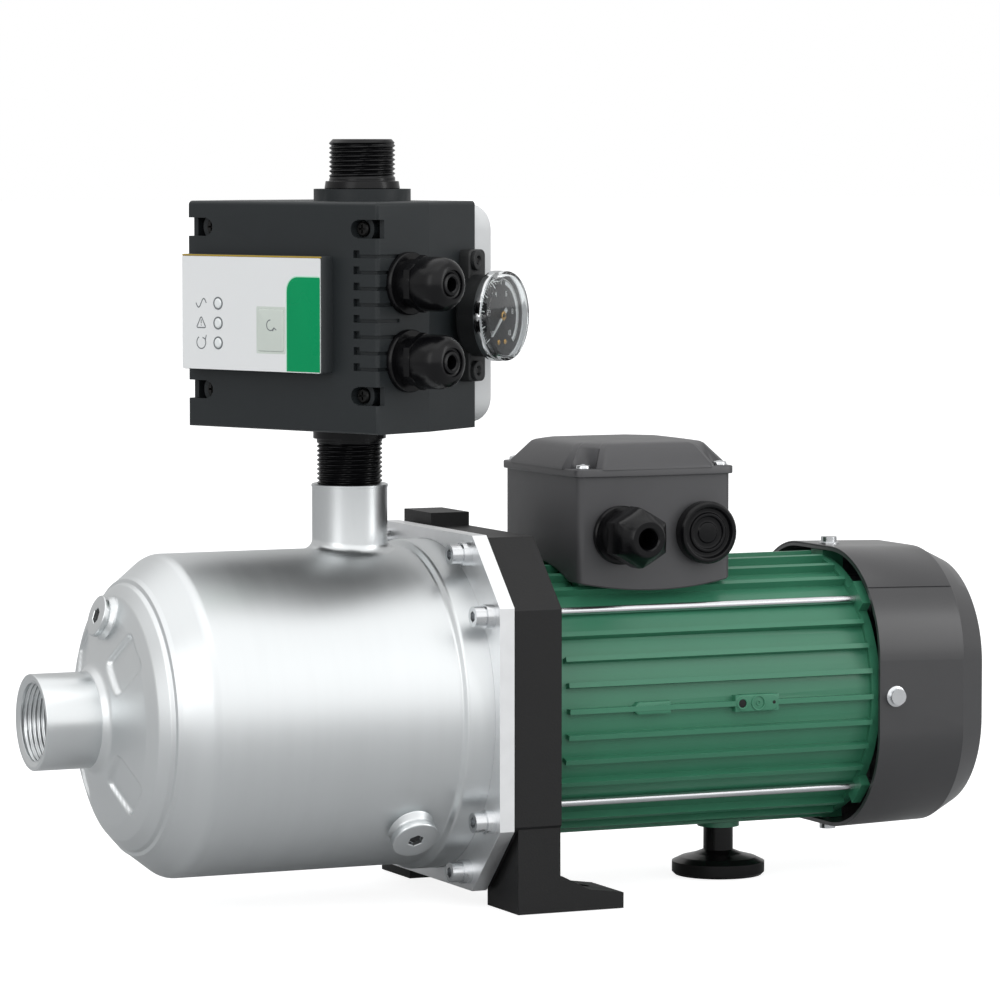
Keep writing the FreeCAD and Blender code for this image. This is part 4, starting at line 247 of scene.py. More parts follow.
# %% Joining and bevelling
def together(name, pieces, body="pump_set"):
    """Joins pieces to one object: their points, faces and smoothness are put in one mesh."""
    form = bmesh.new()
    for piece in pieces:
        form.from_mesh(piece.data)
        bpy.data.objects.remove(piece)
    mesh = bpy.data.meshes.new(name)
    form.to_mesh(mesh)
    form.free()
    mesh.set_sharp_from_angle(angle=math.radians(40))
    whole = bpy.data.objects.new(name, mesh)
    bpy.context.scene.collection.objects.link(whole)
    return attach(whole, body)


def softened(node, width):
    """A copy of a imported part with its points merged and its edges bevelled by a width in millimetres."""
    edge_angle = math.radians(30)
    mesh = nodes[node].data.copy()
    form = bmesh.new()
    form.from_mesh(mesh)
    bmesh.ops.remove_doubles(form, verts=form.verts, dist=1e-6)
    bmesh.ops.dissolve_limit(form, angle_limit=math.radians(0.5), verts=form.verts, edges=form.edges)
    form.to_mesh(mesh)
    form.free()
    mesh.materials.clear()
    mesh.polygons.foreach_set("use_smooth", np.ones(len(mesh.polygons), bool))
    mesh.set_sharp_from_angle(angle=edge_angle)
    piece = bpy.data.objects.new(node + "_softened", mesh)
    bpy.context.scene.collection.objects.link(piece)
    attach(piece, "pump_set")
    bevel = piece.modifiers.new("edges", "BEVEL")
    bevel.width = width * 0.001
    bevel.segments = 3
    bevel.limit_method = "ANGLE"
    bevel.angle_limit = edge_angle
    bevel.harden_normals = True
    bevel.use_clamp_overlap = True
    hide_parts(node)
    return piece


# %% [markdown]
# ## Materials
# Each finish is built from what the real one is: its colour, how it takes light, and the fine relief that
# casting, moulding or rolling leaves. The patterns read Object coordinates, which are metres here, so a
# scale of one over the grain size in metres draws the grain at its real size.


# %% The tools for a material
def linear(colour):
    """An sRGB hex colour as linear red, green, blue and alpha."""
    parts = np.array([int(colour[k:k + 2], 16) / 255 for k in (1, 3, 5)])
    parts = np.where(parts <= 0.04045, parts / 12.92, ((parts + 0.055) / 1.055) ** 2.4)
    return (*parts.tolist(), 1.0)


def add(tree, kind, links=(), **settings):
    """Adds a node, gives it its settings or socket values, and links its inputs: (input, node, output)."""
    made = tree.nodes.new(kind)
    for key, value in settings.items():
        name = key.replace("__", " ")
        if hasattr(made, key):
            setattr(made, key, value)
        else:
            made.inputs[name].default_value = value
    for socket, other, output in links:
        tree.links.new(other.outputs[output], made.inputs[socket])
    return made


def per_mm(size):
    """The scale of a pattern whose grain has a size in millimetres, on coordinates in metres."""
    return 1000.0 / size


def finish_of(name, colour, roughness, metallic=0.0, grain=1.0, relief=0.0, vary=0.06, rough_vary=0.05,
              mottle=12.0, stretch=(1, 1, 1), **shader):
    """A finish: a base colour and a roughness that drift a little, and a relief of a grain size."""
    material = bpy.data.materials.new(name)
    material.use_nodes = True
    tree = material.node_tree
    surface = tree.nodes["Principled BSDF"]
    surface.inputs["Metallic"].default_value = metallic
    for key, value in shader.items():
        surface.inputs[key.replace("__", " ")].default_value = value
    where = add(tree, "ShaderNodeTexCoord")
    spread = add(tree, "ShaderNodeMapping", [("Vector", where, "Object")], Scale=stretch)
    cloud = add(tree, "ShaderNodeTexNoise", [("Vector", spread, "Vector")], Scale=per_mm(mottle), Detail=4.0)
    base = np.array(linear(colour))
    dark, light = base * (1 - vary), np.minimum(base * (1 + vary), 1.0)
    dark[3] = light[3] = 1.0
    tint = add(tree, "ShaderNodeMix", [("Factor", cloud, "Fac")], data_type="RGBA")
    tint.inputs["A"].default_value = dark
    tint.inputs["B"].default_value = light
    tree.links.new(tint.outputs["Result"], surface.inputs["Base Color"])
    drift = add(tree, "ShaderNodeMapRange", [("Value", cloud, "Fac")])
    drift.inputs["To Min"].default_value = max(roughness - rough_vary, 0.02)
    drift.inputs["To Max"].default_value = min(roughness + rough_vary, 1.0)
    tree.links.new(drift.outputs["Result"], surface.inputs["Roughness"])
    fine = add(tree, "ShaderNodeTexNoise", [("Vector", spread, "Vector")], Scale=per_mm(grain), Detail=3.0)
    bump = add(tree, "ShaderNodeBump", [("Height", fine, "Fac")], Strength=1.0, Distance=relief * 0.001)
    tree.links.new(bump.outputs["Normal"], surface.inputs["Normal"])
    return material


def wear(piece, material):
    """Gives a piece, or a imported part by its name, one finish all over."""
    target = nodes[piece] if isinstance(piece, str) else piece
    target.data.materials.clear()
    target.data.materials.append(material)
    return target


# %% [markdown]
# ### Metals
# The casing is stainless sheet that was spun and polished, so its faint lines run round the pump: the
# pattern is stretched round the shaft by being squeezed along it. Plated steel is smoother and a little
# bluer, ground steel brighter still.

# %% Metal finishes
AROUND_SHAFT = (1.0, 0.06, 0.06)
# Stainless steel sheet, spun and satin polished: pale grey with soft broad highlights
satin_stainless = finish_of("satin_stainless_sheet", "#DEE1E2", 0.41, 1.0, grain=0.5, relief=0.004,
                            stretch=AROUND_SHAFT, vary=0.03, rough_vary=0.04, mottle=6.0)
# Stainless bar, turned: the same metal with finer rings and a brighter face
turned_stainless = finish_of("turned_stainless", "#DBDEDF", 0.3, 1.0, grain=0.4, relief=0.003,
                             stretch=AROUND_SHAFT, vary=0.03)
# Steel plate, zinc plated: cool grey, slightly cloudy
zinc_plate = finish_of("zinc_plated_steel", "#F2F3F4", 0.4, 1.0, grain=1.2, relief=0.006, vary=0.05,
                       mottle=9.0)
# Screws, zinc plated and bright
bright_screw = finish_of("bright_plated_screw_steel", "#DADCDE", 0.24, 1.0, grain=0.8, relief=0.003,
                         vary=0.04)
# Bearing steel, ground and polished
bearing_steel = finish_of("polished_bearing_steel", "#C4C6C8", 0.14, 1.0, grain=0.3, relief=0.001, vary=0.02)
# Shaft steel, ground along its round
shaft_steel = finish_of("ground_shaft_steel", "#B9BCBE", 0.27, 1.0, grain=0.3, relief=0.002,
                        stretch=AROUND_SHAFT)
# Electrical sheet in a stack: fine lines across the shaft, half a millimetre apart
laminations = finish_of("stacked_electrical_steel", "#6E7072", 0.45, 1.0, grain=0.5, relief=0.02,
                        stretch=AROUND_SHAFT, vary=0.1)
# Enamelled copper wire: warm, glossy lacquer over metal, with the wire's own 0.8 mm ridges
copper_wire = finish_of("enamelled_copper_wire", "#8E4A26", 0.3, 0.8, grain=0.8, relief=0.06, vary=0.2,
                        mottle=3.0)
# Spring steel wire, drawn
spring_wire = finish_of("drawn_spring_steel", "#A8ABAD", 0.3, 1.0, grain=0.4, relief=0.003)
# The gauge's ring, chrome plated
chrome = finish_of("bright_chrome", "#DADCDD", 0.08, 1.0, grain=2.0, relief=0.0005, vary=0.01,
                   rough_vary=0.02)
# Near black steel, as painted shade: the screws that sit deep in holes, and the bottom of small holes
painted_hole_shade = finish_of("near_black_painted_hole_shade", "#0A0A0A", 0.5, 0.3, grain=0.6, relief=0.002)
brass = finish_of("polished_brass", "#C79A4B", 0.25, 1.0, grain=0.5, relief=0.002)
print("metal finishes:", len(bpy.data.materials))

# %% [markdown]
# ### Painted and moulded finishes
# Black paint over sand casting keeps the sand's bumps. The motor's green is a powder coat, thick enough to
# soften the die casting. The control unit is moulded in ABS with a spark-eroded grain, and its glands are
# moulded in glossy polyamide.

# %% Paint and plastic
# Cast iron under black paint: coarse bumps of about a millimetre, satin sheen
black_casting = finish_of("black_painted_casting", "#131314", 0.5, grain=1.1, relief=0.07, vary=0.12,
                          mottle=15.0, Specular__IOR__Level=0.35)
# Die-cast aluminium under a green powder coat, with a slight orange peel
green_coat = finish_of("green_powder_coat", "#35775B", 0.4, grain=1.6, relief=0.02, vary=0.08, mottle=20.0,
                       Coat__Weight=0.15, Coat__Roughness=0.3)
# Fan cover: sheet steel, painted black, smooth and a little glossy
black_sheet_paint = finish_of("black_painted_sheet", "#2E2E30", 0.36, grain=2.4, relief=0.008, vary=0.06,
                              Coat__Weight=0.6, Coat__Roughness=0.3)
# Terminal box and lid: dark grey polyamide with a fine mould grain
box_plastic = finish_of("dark_grey_polyamide", "#464648", 0.38, grain=0.6, relief=0.012, vary=0.06)
# Glands, nipples and plugs: black polyamide, smoother than the box
gland_plastic = finish_of("black_polyamide", "#0A0A0C", 0.24, grain=0.9, relief=0.004, vary=0.08,
                          Specular__IOR__Level=0.25)
# Control unit: charcoal ABS with a spark-eroded grain
unit_plastic = finish_of("charcoal_grained_abs", "#24282A", 0.44, grain=0.7, relief=0.02, vary=0.06,
                         Specular__IOR__Level=0.3)
unit_dark_plastic = finish_of("charcoal_abs_recess", "#151718", 0.5, grain=0.7, relief=0.02, vary=0.06)
# Rear cover: light grey ABS
grey_plastic = finish_of("light_grey_abs", "#D2D4D5", 0.42, grain=0.8, relief=0.01, vary=0.03)
# Front panel: pale grey ABS under a smooth printed film
panel_film = finish_of("pale_panel_film", "#E6E8E9", 0.3, grain=3.0, relief=0.002, vary=0.01, mottle=30.0)
panel_edge = finish_of("panel_edge_abs", "#2C3032", 0.45, grain=0.7, relief=0.015, vary=0.05)
green_film = finish_of("green_printed_film", "#00935B", 0.28, grain=3.0, relief=0.002, vary=0.02, mottle=20.0,
                       Specular__IOR__Level=0.15)
mint_film = finish_of("mint_printed_line", "#B9E3CF", 0.3, grain=3.0, relief=0.001, vary=0.01)
gold_film = finish_of("gold_printed_line", "#B79A3C", 0.35, 0.4, grain=2.0, relief=0.001, vary=0.04)
grey_film = finish_of("grey_printed_mark", "#6E7376", 0.4, grain=2.0, relief=0.001, vary=0.02)
button_film = finish_of("grey_green_button", "#CDD5CE", 0.32, grain=1.0, relief=0.003, vary=0.02)
lens_white = finish_of("clear_light_lens", "#E9EDEE", 0.12, grain=2.0, relief=0.001, vary=0.01,
                       Coat__Weight=0.6)
# Support foot: black rubber-like plastic, glossy from its mould
foot_plastic = finish_of("glossy_black_foot", "#0C0C0D", 0.24, grain=1.5, relief=0.004, vary=0.08,
                         Specular__IOR__Level=0.3)
# Inner pieces
stage_plastic = finish_of("grey_moulded_plastic", "#3A3B3E", 0.4, grain=0.8, relief=0.01)
ceramic = finish_of("lapped_ceramic", "#DDD9CC", 0.2, grain=0.6, relief=0.001)
rubber = finish_of("black_epdm_rubber", "#161616", 0.65, grain=0.5, relief=0.01)
board = finish_of("green_solder_mask", "#12502B", 0.3, grain=1.0, relief=0.01, vary=0.15, mottle=2.0)
capacitor_case = finish_of("white_capacitor_case", "#D6D6D0", 0.35, grain=1.0, relief=0.004)
dial_black = finish_of("matt_black_dial", "#0B0B0D", 0.5, grain=1.0, relief=0.002, vary=0.04,
                       Specular__IOR__Level=0.15)
dial_white = finish_of("white_dial_print", "#F2F3F2", 0.45, grain=1.0, relief=0.001, vary=0.01)
# Clear polycarbonate lens: smooth, slightly cool
clear_lens = finish_of("clear_polycarbonate", "#F7FAFB", 0.03, grain=4.0, relief=0.0005, vary=0.005,
                       rough_vary=0.01, Transmission__Weight=1.0, IOR=1.45,
                       Specular__IOR__Level=0.25)
print("finishes made:", len(bpy.data.materials))

# %% [markdown]
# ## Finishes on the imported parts
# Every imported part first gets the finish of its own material. The parts inside the pump and motor keep their
# packed form, since nothing shows them, and later cells put dressed pieces in the place of the outer ones.

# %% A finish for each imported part
PACKED_FINISHES = {
    satin_stainless: ["seal_plate", "pump_casing"],
    bright_screw: ["impeller_nut", "tie_rods", "fan_cover_screws", "lid_screws", "flange_screws"],
    # The unit's screws sit deep in holes: their near black is painted shade.
    painted_hole_shade: ["unit_screws"],
    bearing_steel: ["front_bearing_outer_ring", "front_bearing_inner_ring", "front_bearing_balls",
                    "rear_bearing_outer_ring", "rear_bearing_inner_ring", "rear_bearing_balls"],
    shaft_steel: ["shaft"],
    laminations: ["stator_core", "rotor_core"],
    copper_wire: ["stator_windings"],
    spring_wire: ["valve_spring", "seal_head"],
    stage_plastic: ["impeller_1", "impeller_2", "impeller_3", "stage_chamber_1", "stage_chamber_2",
                    "stage_chamber_3", "suction_guide", "flow_valve"],
    ceramic: ["seal_seat", "terminal_block"],
    rubber: ["casing_seal_ring"],
    board: ["circuit_board"],
    capacitor_case: ["capacitor"],
    turned_stainless: ["suction_socket", "discharge_socket", "filler_plug", "drain_plug"],
    zinc_plate: ["clamp_flange"],
    black_casting: ["bracket"],
    green_coat: ["stator_housing", "rear_end_shield"],
    black_sheet_paint: ["fan_cover", "fan"],
    box_plastic: ["terminal_box", "terminal_lid", "blanking_plug"],
    gland_plastic: ["motor_cable_gland", "unit_glands", "flow_body", "outlet_nipple"],
    unit_plastic: ["unit_housing", "gauge_case"],
    grey_plastic: ["unit_rear_cover"],
    panel_film: ["front_panel"],
    lens_white: ["led_lenses"],
    button_film: ["reset_button"],
    clear_lens: ["gauge_lens"],
    dial_white: ["gauge_pointer"],
    foot_plastic: ["support_foot"],
}
for finish, names in PACKED_FINISHES.items():
    for name in names:
        wear(name, finish)
for name, node in nodes.items():
    node.data.polygons.foreach_set("use_smooth", np.ones(len(node.data.polygons), bool))
print("parts with a finish:", sum(len(names) for names in PACKED_FINISHES.values()))

# %% [markdown]
# ## Pipe threads
# The suction socket is threaded inside and both nipples outside, so that pipes screw on. A thread is a
# groove that climbs by one pitch each turn: its depth depends on the distance along minus the share of a
# turn. The pitch of a one inch pipe thread is 2.31 mm. With the thread in the mesh, the light picks out
# each of its crests.


# %% A turned part with a thread
THREAD_PITCH = 2.31
WALL_TOLERANCE = 0.3


def threaded(name, profile, low, high, radius, depth, spot, radii=0.4, around=128):
    """A turned profile whose wall at a radius, from low to high, is cut by a helix of a depth."""
    line = rounded(profile, radii, steps=4)
    parts = []
    for start, end in zip(line, np.roll(line, -1, 0)):
        on_wall = abs(start[1] - radius) < WALL_TOLERANCE and abs(end[1] - radius) < WALL_TOLERANCE
        count = max(1, int(abs(end[0] - start[0]) / (THREAD_PITCH / 8))) if on_wall else 1
        parts.append(start + (end - start) * (np.arange(count) / count)[:, None])
    line = np.concatenate(parts)
    angle = np.arange(around) / around * 2 * np.pi
    along, wall = line[:, :1], line[:, 1:]
    phase = along / THREAD_PITCH - angle / (2 * np.pi)
    wave = 0.5 - 0.5 * np.cos(2 * np.pi * phase)
    fade = np.clip((along - low) / THREAD_PITCH, 0, 1) * np.clip((high - along) / THREAD_PITCH, 0, 1)
    reach = wall - depth * wave * fade * (np.abs(wall - radius) < WALL_TOLERANCE)
    rings = np.stack([reach * np.cos(angle), reach * np.sin(angle), along + 0 * reach], -1)
    return skin(name, rings, spot, closed=True, sharp=50.0)


# %% [markdown]
# ### The nipples
# The flow body ends below in a threaded nipple, and carries the guide of the valve's stem on two arms. The
# outlet nipple is screwed in above. Both are profiles with a threaded wall.

# %% The two nipples
PIPE_RADIUS = 16.6
THREAD_DEPTH = 1.15
lower_nipple = threaded(
    "lower_nipple",
    [(-42.9, 12.5), (-42.9, 15.4), (-41.7, PIPE_RADIUS), (-6.1, PIPE_RADIUS), (-6.1, 18.4), (3.5, 18.4),
     (3.5, 25), (72, 25), (72, 10.5), (69, 10.5), (69, 21), (12, 21), (12, 12.5)],
    -41.5, -7.0, PIPE_RADIUS, THREAD_DEPTH, unit_upright)
upper_nipple = threaded(
    "upper_nipple",
    [(72, 12.5), (72, PIPE_RADIUS), (119.6, PIPE_RADIUS), (119.6, 19.0), (123.5, 18.4), (123.5, PIPE_RADIUS),
     (142.7, PIPE_RADIUS), (144.5, 14.8), (144.5, 12.5)],
    124.5, 143.5, PIPE_RADIUS, THREAD_DEPTH, moved(unit_upright, (9.0, 0, 0)))
valve_guide = turned("valve_guide", [(44, 3.06), (44, 6.5), (50, 6.5), (50, 3.06)], unit_upright, closed=True,
                     around=48)
guide_arms = [
    moulded("guide_arm", rounded([(-2, start), (2, start), (2, end), (-2, end)], 0.5), [(44, 0), (50, 0)],
            unit_upright)
    for start, end in ((4.6, 22.0), (-22.0, -4.6))
]
flow_piece = wear(together("flow_body_threaded", [lower_nipple, valve_guide] + guide_arms), gland_plastic)
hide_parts("flow_body")
wear(upper_nipple, gland_plastic)
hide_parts("outlet_nipple")
print("nipple faces:", len(flow_piece.data.polygons) + len(upper_nipple.data.polygons))

# %% [markdown]
# ### The suction socket
# The socket is a short turned tube, threaded inside. A depth below nought cuts its thread outwards, into the
# wall round the bore.

# %% The suction socket
SUCTION_BORE = 19.5
suction_piece = threaded(
    "suction_socket_threaded",
    [(-267.6, 22.0), (-267.6, 24), (-236.2, 24), (-236.2, 17.8), (-241.1, 17.8), (-241.1, SUCTION_BORE),
     (-266.4, SUCTION_BORE)],
    -266.6, -242.0, SUCTION_BORE, -1.0, shaft_line, radii=[0.2, 0.6, 0.2, 0.2, 0.4, 0.3, 0.2])
wear(suction_piece, turned_stainless)
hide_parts("suction_socket")
print("suction socket faces:", len(suction_piece.data.polygons))

# %% [markdown]
# ## The pressed casing
# The casing is drawn from stainless sheet in a press. Its crown is a dish with four square pads pressed into
# it, which stiffen it and stop the sheet from ringing. Outside the dish runs a narrow step, and then the
# cone that turns into the round wall through a wide bend. The pads are a displacement: how far a point lies
# inside a rounded square.


# %% The casing's wall and crown
CASING_RADIUS = 81.0
DISH_EDGE = -221.0
DISH_STEP = 0.9
PAD_DEPTH = 2.5


def pressed_pads(across, up, circle_radius=42.0, half=9.8, edge=2.0):
    """The share of full depth at a point: one inside a square on a diagonal, nought beyond its slope."""
    share = np.zeros_like(across)
    for side in (-1, 1):
        for level in (-1, 1):
            outwards = (across * side + up * level) / math.sqrt(2) - circle_radius
            beside = (across * level - up * side) / math.sqrt(2)
            far = (np.abs(outwards) ** 8 + np.abs(beside) ** 8) ** (1 / 8)
            ramp = np.clip((half + edge - far) / edge, 0, 1)
            share = np.maximum(share, ramp * ramp * (3 - 2 * ramp))
    return share


def casing_shell(name, outer, inner, radii_outer, radii_inner, around=320):
    """Both faces of the sheet swept round the shaft, with the pads pressed into the dish's front and back."""
    front = rounded(outer, radii_outer, closed=False, steps=10)
    back = rounded(inner, radii_inner, closed=False, steps=6)
    line = np.concatenate([front, back])
    parts = []
    for start, end in zip(line, np.roll(line, -1, 0)):
        on_dish = max(start[0], end[0]) < DISH_EDGE - 1
        count = max(1, int(np.linalg.norm(end - start) / DISH_STEP)) if on_dish else 1
        parts.append(start + (end - start) * (np.arange(count) / count)[:, None])
    line = np.concatenate(parts)
    angle = np.arange(around) / around * 2 * np.pi
    radius = line[:, 1:]
    across, up = radius * np.cos(angle), radius * np.sin(angle)
    depth = PAD_DEPTH * pressed_pads(across, up) * (line[:, :1] < DISH_EDGE)
    rings = np.stack([across, up, line[:, :1] + depth], -1)
    return skin(name, rings, shaft_line, closed=True, sharp=60.0)


casing_piece = casing_shell(
    "casing_sheet",
    [(-236.2, 17.8), (-239.2, 24.1), (-235.4, 27.0), (-227.0, 53.0), (-223.4, 61.0), (-218.7, 66.2),
     (-216.6, 67.0), (-216.2, 69.0), (-214.0, 70.3), (-200.0, CASING_RADIUS), (-70.5, CASING_RADIUS),
     (-68.5, 84.0), (-48.5, 84.0), (-48.5, 88.0), (-46.5, 88.0)],
    [(-46.5, 82.0), (-66.5, 82.0), (-68.5, 79.0), (-200.0, 79.0), (-211.2, 70.3), (-216.2, 65.5),
     (-224.5, 53.0), (-233.7, 25.0), (-233.7, 17.8)],
    [0, 0.5, 5.0, 9.0, 5.0, 2.0, 0.7, 0.8, 2.0, 9.0, 1.5, 2.0, 1.2, 0.8, 0],
    [0, 1.0, 1.0, 5.0, 2.0, 2.0, 4.0, 1.0, 0])
wear(casing_piece, satin_stainless)

# %% [markdown]
# ### The bosses
# A plug needs more thread than thin sheet can hold, so a short tube is welded on under each one. The two
# places are set by an angle round the shaft and a tilt back from the front.


# %% The plugs' bosses
def boss(name, seat, spot, low, top, radius=10.0, flare=2.6, bore=6.5):
    """A welded boss: a short tube whose foot flares into the sheet."""
    return turned(name, [(low, bore), (low, radius + flare), (seat, radius + flare * 0.8),
                         (seat + flare, radius), (top, radius), (top, bore)],
                  spot, closed=True, radii=[0, 0, 1.0, 2.0, 0.3, 0.3], around=72)


DRAIN_TURN = math.radians(133)
drain_out = np.array([0.0, -math.sin(DRAIN_TURN), math.cos(DRAIN_TURN)])
drain_line = place((-89.3, 0, AXIS_HEIGHT), ALONG, np.cross(drain_out, ALONG))
DRAIN_TOP = 85.6
FILLER_TILT = math.radians(17)
filler_out = np.array([-math.cos(FILLER_TILT), 0.0, math.sin(FILLER_TILT)])
filler_line = place((-228.0, 0, AXIS_HEIGHT + 50.0), SIDEWAYS, np.cross(filler_out, SIDEWAYS))
FILLER_TOP = 3.0
wear(boss("drain_boss", 80.6, drain_line, 79.4, DRAIN_TOP), satin_stainless)
wear(boss("filler_boss", 0.2, filler_line, -1.8, FILLER_TOP, 9.0), satin_stainless)
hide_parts("pump_casing")
print("casing faces:", len(casing_piece.data.polygons))

# %% [markdown]
# ## Plugs and the outlet socket
# The plugs are turned stainless with a hexagon sunk in the head for a key. A sunk hexagon is a ring of six
# straight sides, so its rings are hexagons while the head's are circles: both have the same number of
# points, and the skin joins one to the other.


# %% Sunk hexagons
KEY_FLATS = 7.0


def hexagon(flats, count):
    """A hexagon as a ring of points at equal angles: the radius grows from the flat to the corner."""
    angle = np.arange(count) / count * 2 * np.pi
    within = (angle + np.pi / 6) % (np.pi / 3) - np.pi / 6
    radius = flats / 2 / np.cos(within)
    return np.stack([radius * np.cos(angle), radius * np.sin(angle)], -1)


def headed(name, profile, socket_depth, spot, radii, around=72):
    """A turned head, from its foot to its top face, with a hexagon sunk in the middle of the top."""
    line = rounded(profile, radii, closed=False, steps=4)
    top = line[-1, 0]
    rings = [at_height(circle(max(radius, 0.02), around), along) for along, radius in line]
    rings += [at_height(hexagon(KEY_FLATS + 0.5, around), top),
              at_height(hexagon(KEY_FLATS, around), top - 0.3),
              at_height(hexagon(KEY_FLATS, around), top - socket_depth),
              at_height(circle(0.05, around), top - socket_depth)]
    return skin(name, rings, spot, sharp=35.0)


# %% [markdown]
# ### The two plugs
# Each plug stands on its boss. A dark piece at the bottom of the sunk hexagon stands for the shade that
# collects in such a narrow socket.

# %% The plugs
drain_spot = moved(drain_line, (0, 0, DRAIN_TOP))
filler_spot = moved(filler_line, (0, 0, FILLER_TOP))
drain_head = headed("drain_plug_head",
                    [(-9.0, 0.02), (-9.0, 6.4), (0, 6.4), (0, 12.2), (3.6, 12.2), (3.6, 4.6)], 2.6,
                    drain_spot, [0, 0.4, 0.3, 0.4, 0.9, 0])
filler_head = headed("filler_plug_head",
                     [(-9.0, 0.02), (-9.0, 6.4), (0, 6.4), (0, 10.4), (2.8, 10.4), (2.8, 4.6)], 2.4,
                     filler_spot, [0, 0.4, 0.3, 0.4, 0.7, 0])
for piece, name in ((drain_head, "drain_plug"), (filler_head, "filler_plug")):
    wear(piece, turned_stainless)
    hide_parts(name)
for spot, depth in ((drain_spot, 1.0), (filler_spot, 0.4)):
    wear(moulded("socket_floor", hexagon(6.4, 48), [(depth - 0.2, 0), (depth + 0.3, 0)], spot), painted_hole_shade)
print("plugs made")

# %% [markdown]
# ### The outlet socket
# The socket is welded on the round casing, so its foot is a saddle: at each angle the foot stands as high as
# the casing is there, the root of the radius squared less the distance to the side squared.

# %% The outlet's saddle
outlet_line = place((OUTLET_X, 0, AXIS_HEIGHT), ALONG, SIDEWAYS)
OUTLET_BORE = 14.6


def saddle_socket(name, radius, wall, top, flare, spot, around=144):
    """A tube on the round casing: the foot's rings follow the casing's height and flare out into it."""
    angle = np.arange(around) / around * 2 * np.pi
    rows = []
    for share in np.linspace(1, 0, 9):
        reach = radius + flare * (1 - math.cos(share * math.pi / 2))
        seat = np.sqrt(CASING_RADIUS ** 2 - (reach * np.sin(angle)) ** 2)
        lift = flare * (1 - math.sin(share * math.pi / 2)) - 0.15
        rows.append(np.stack([reach * np.cos(angle), reach * np.sin(angle), seat + lift], -1))
    lip = ((top - 1.6, radius), (top - 1.5, radius + 0.3), (top - 0.4, radius + 0.3), (top, radius - 0.2),
           (top, wall + 0.9), (top - 0.9, wall + 0.05), (top - 15, wall + 0.05), (top - 15, OUTLET_BORE))
    rows += [at_height(circle(reach, around), along) for along, reach in lip]
    seat = np.sqrt(CASING_RADIUS ** 2 - (OUTLET_BORE * np.sin(angle)) ** 2)
    rows.append(np.stack([OUTLET_BORE * np.cos(angle), OUTLET_BORE * np.sin(angle), seat - 0.15], -1))
    return skin(name, rows, spot, closed=True)


outlet_piece = saddle_socket("outlet_socket", 19.05, PIPE_RADIUS, 113.5, 5.0, outlet_line)
wear(outlet_piece, turned_stainless)
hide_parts("discharge_socket")
print("outlet socket faces:", len(outlet_piece.data.polygons))

# %% [markdown]
# ## Softened castings
# The bracket, flange and motor housing are already true in shape, and what they lack is only the radius on
# their edges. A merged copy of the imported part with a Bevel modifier, limited by angle, gives it.

# %% Softened copies
BEVELLED = {
    "bracket": (1.3, black_casting),
    "clamp_flange": (0.9, zinc_plate),
    "stator_housing": (0.5, green_coat),
    "fan_cover": (0.8, black_sheet_paint),
    "unit_housing": (0.9, unit_plastic),
}
for name, (width, finish) in BEVELLED.items():
    wear(softened(name, width), finish)
print("softened:", ", ".join(BEVELLED))

# %% [markdown]
# ## Glands
# A gland holds a cable by a rubber ring that its dome nut squeezes. The nut starts as a hexagon, for the
# spanner, and ends as a dome. Each ring is a blend of a hexagon and a circle of the same point count.


# %% Rings of a gland
def blended(flats, radius, share, count):
    """A ring between a hexagon and a circle: the share of hexagon, the rest circle."""
    return hexagon(flats, count) * share + circle(radius, count) * (1 - share)


def gland(name, profile, spot, around=96):
    """Rows of (along, across the flats, radius, share of hexagon), joined to a closed ring."""
    rings = [at_height(blended(flats, radius, share, around), along)
             for along, flats, radius, share in profile]
    return skin(name, rings, spot, closed=True, sharp=32.0)


# %% [markdown]
# ### The unit's two glands
# Both of the unit's glands stand on its right side, one over the other, on the same profile.

# %% The unit's glands
SIDE_GLAND = [
    (-9.0, 6.4, 3.2, 0), (-9.0, 17, 8.5, 0), (0.0, 17, 8.5, 0), (0.0, 31, 15.5, 0), (2.4, 31, 15.5, 0),
    (3.0, 30, 15.0, 0), (3.2, 25, 12.2, 0), (8.0, 24, 12.0, 0), (8.4, 25.0, 12.4, 0.85),
    (12.0, 25.0, 12.4, 0.85), (12.3, 24.0, 12.6, 0.3), (12.8, 25.6, 13.2, 0), (13.4, 26.8, 13.4, 0),
    (22.0, 26.8, 13.4, 0), (24.6, 26.0, 13.0, 0), (26.6, 24.6, 12.2, 0), (28.2, 22.0, 10.9, 0),
    (29.3, 18.6, 9.3, 0), (29.8, 15.6, 7.8, 0), (29.8, 14.4, 7.2, 0), (28.6, 13.8, 6.9, 0),
    (28.4, 12.0, 6.0, 0), (29.4, 10.6, 5.3, 0), (29.6, 8.0, 4.0, 0), (29.0, 6.8, 3.4, 0), (20.0, 6.4, 3.2, 0),
]
gland_spots = [set_out(unit_upright, (UNIT_SIDE, -28.2, height)) for height in (35.7, 73.7)]
side_glands = [gland("side_gland", SIDE_GLAND, place(spot, UNIT_BACKWARDS, UP)) for spot in gland_spots]
glands_piece = wear(together("unit_glands_dome_nuts", side_glands), gland_plastic)
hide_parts("unit_glands")
print("side glands made:", len(side_glands))

# %% [markdown]
# ### The terminal box's entries
# The box has two entries in its near wall: one holds a gland, and the other is closed by a ribbed plug.

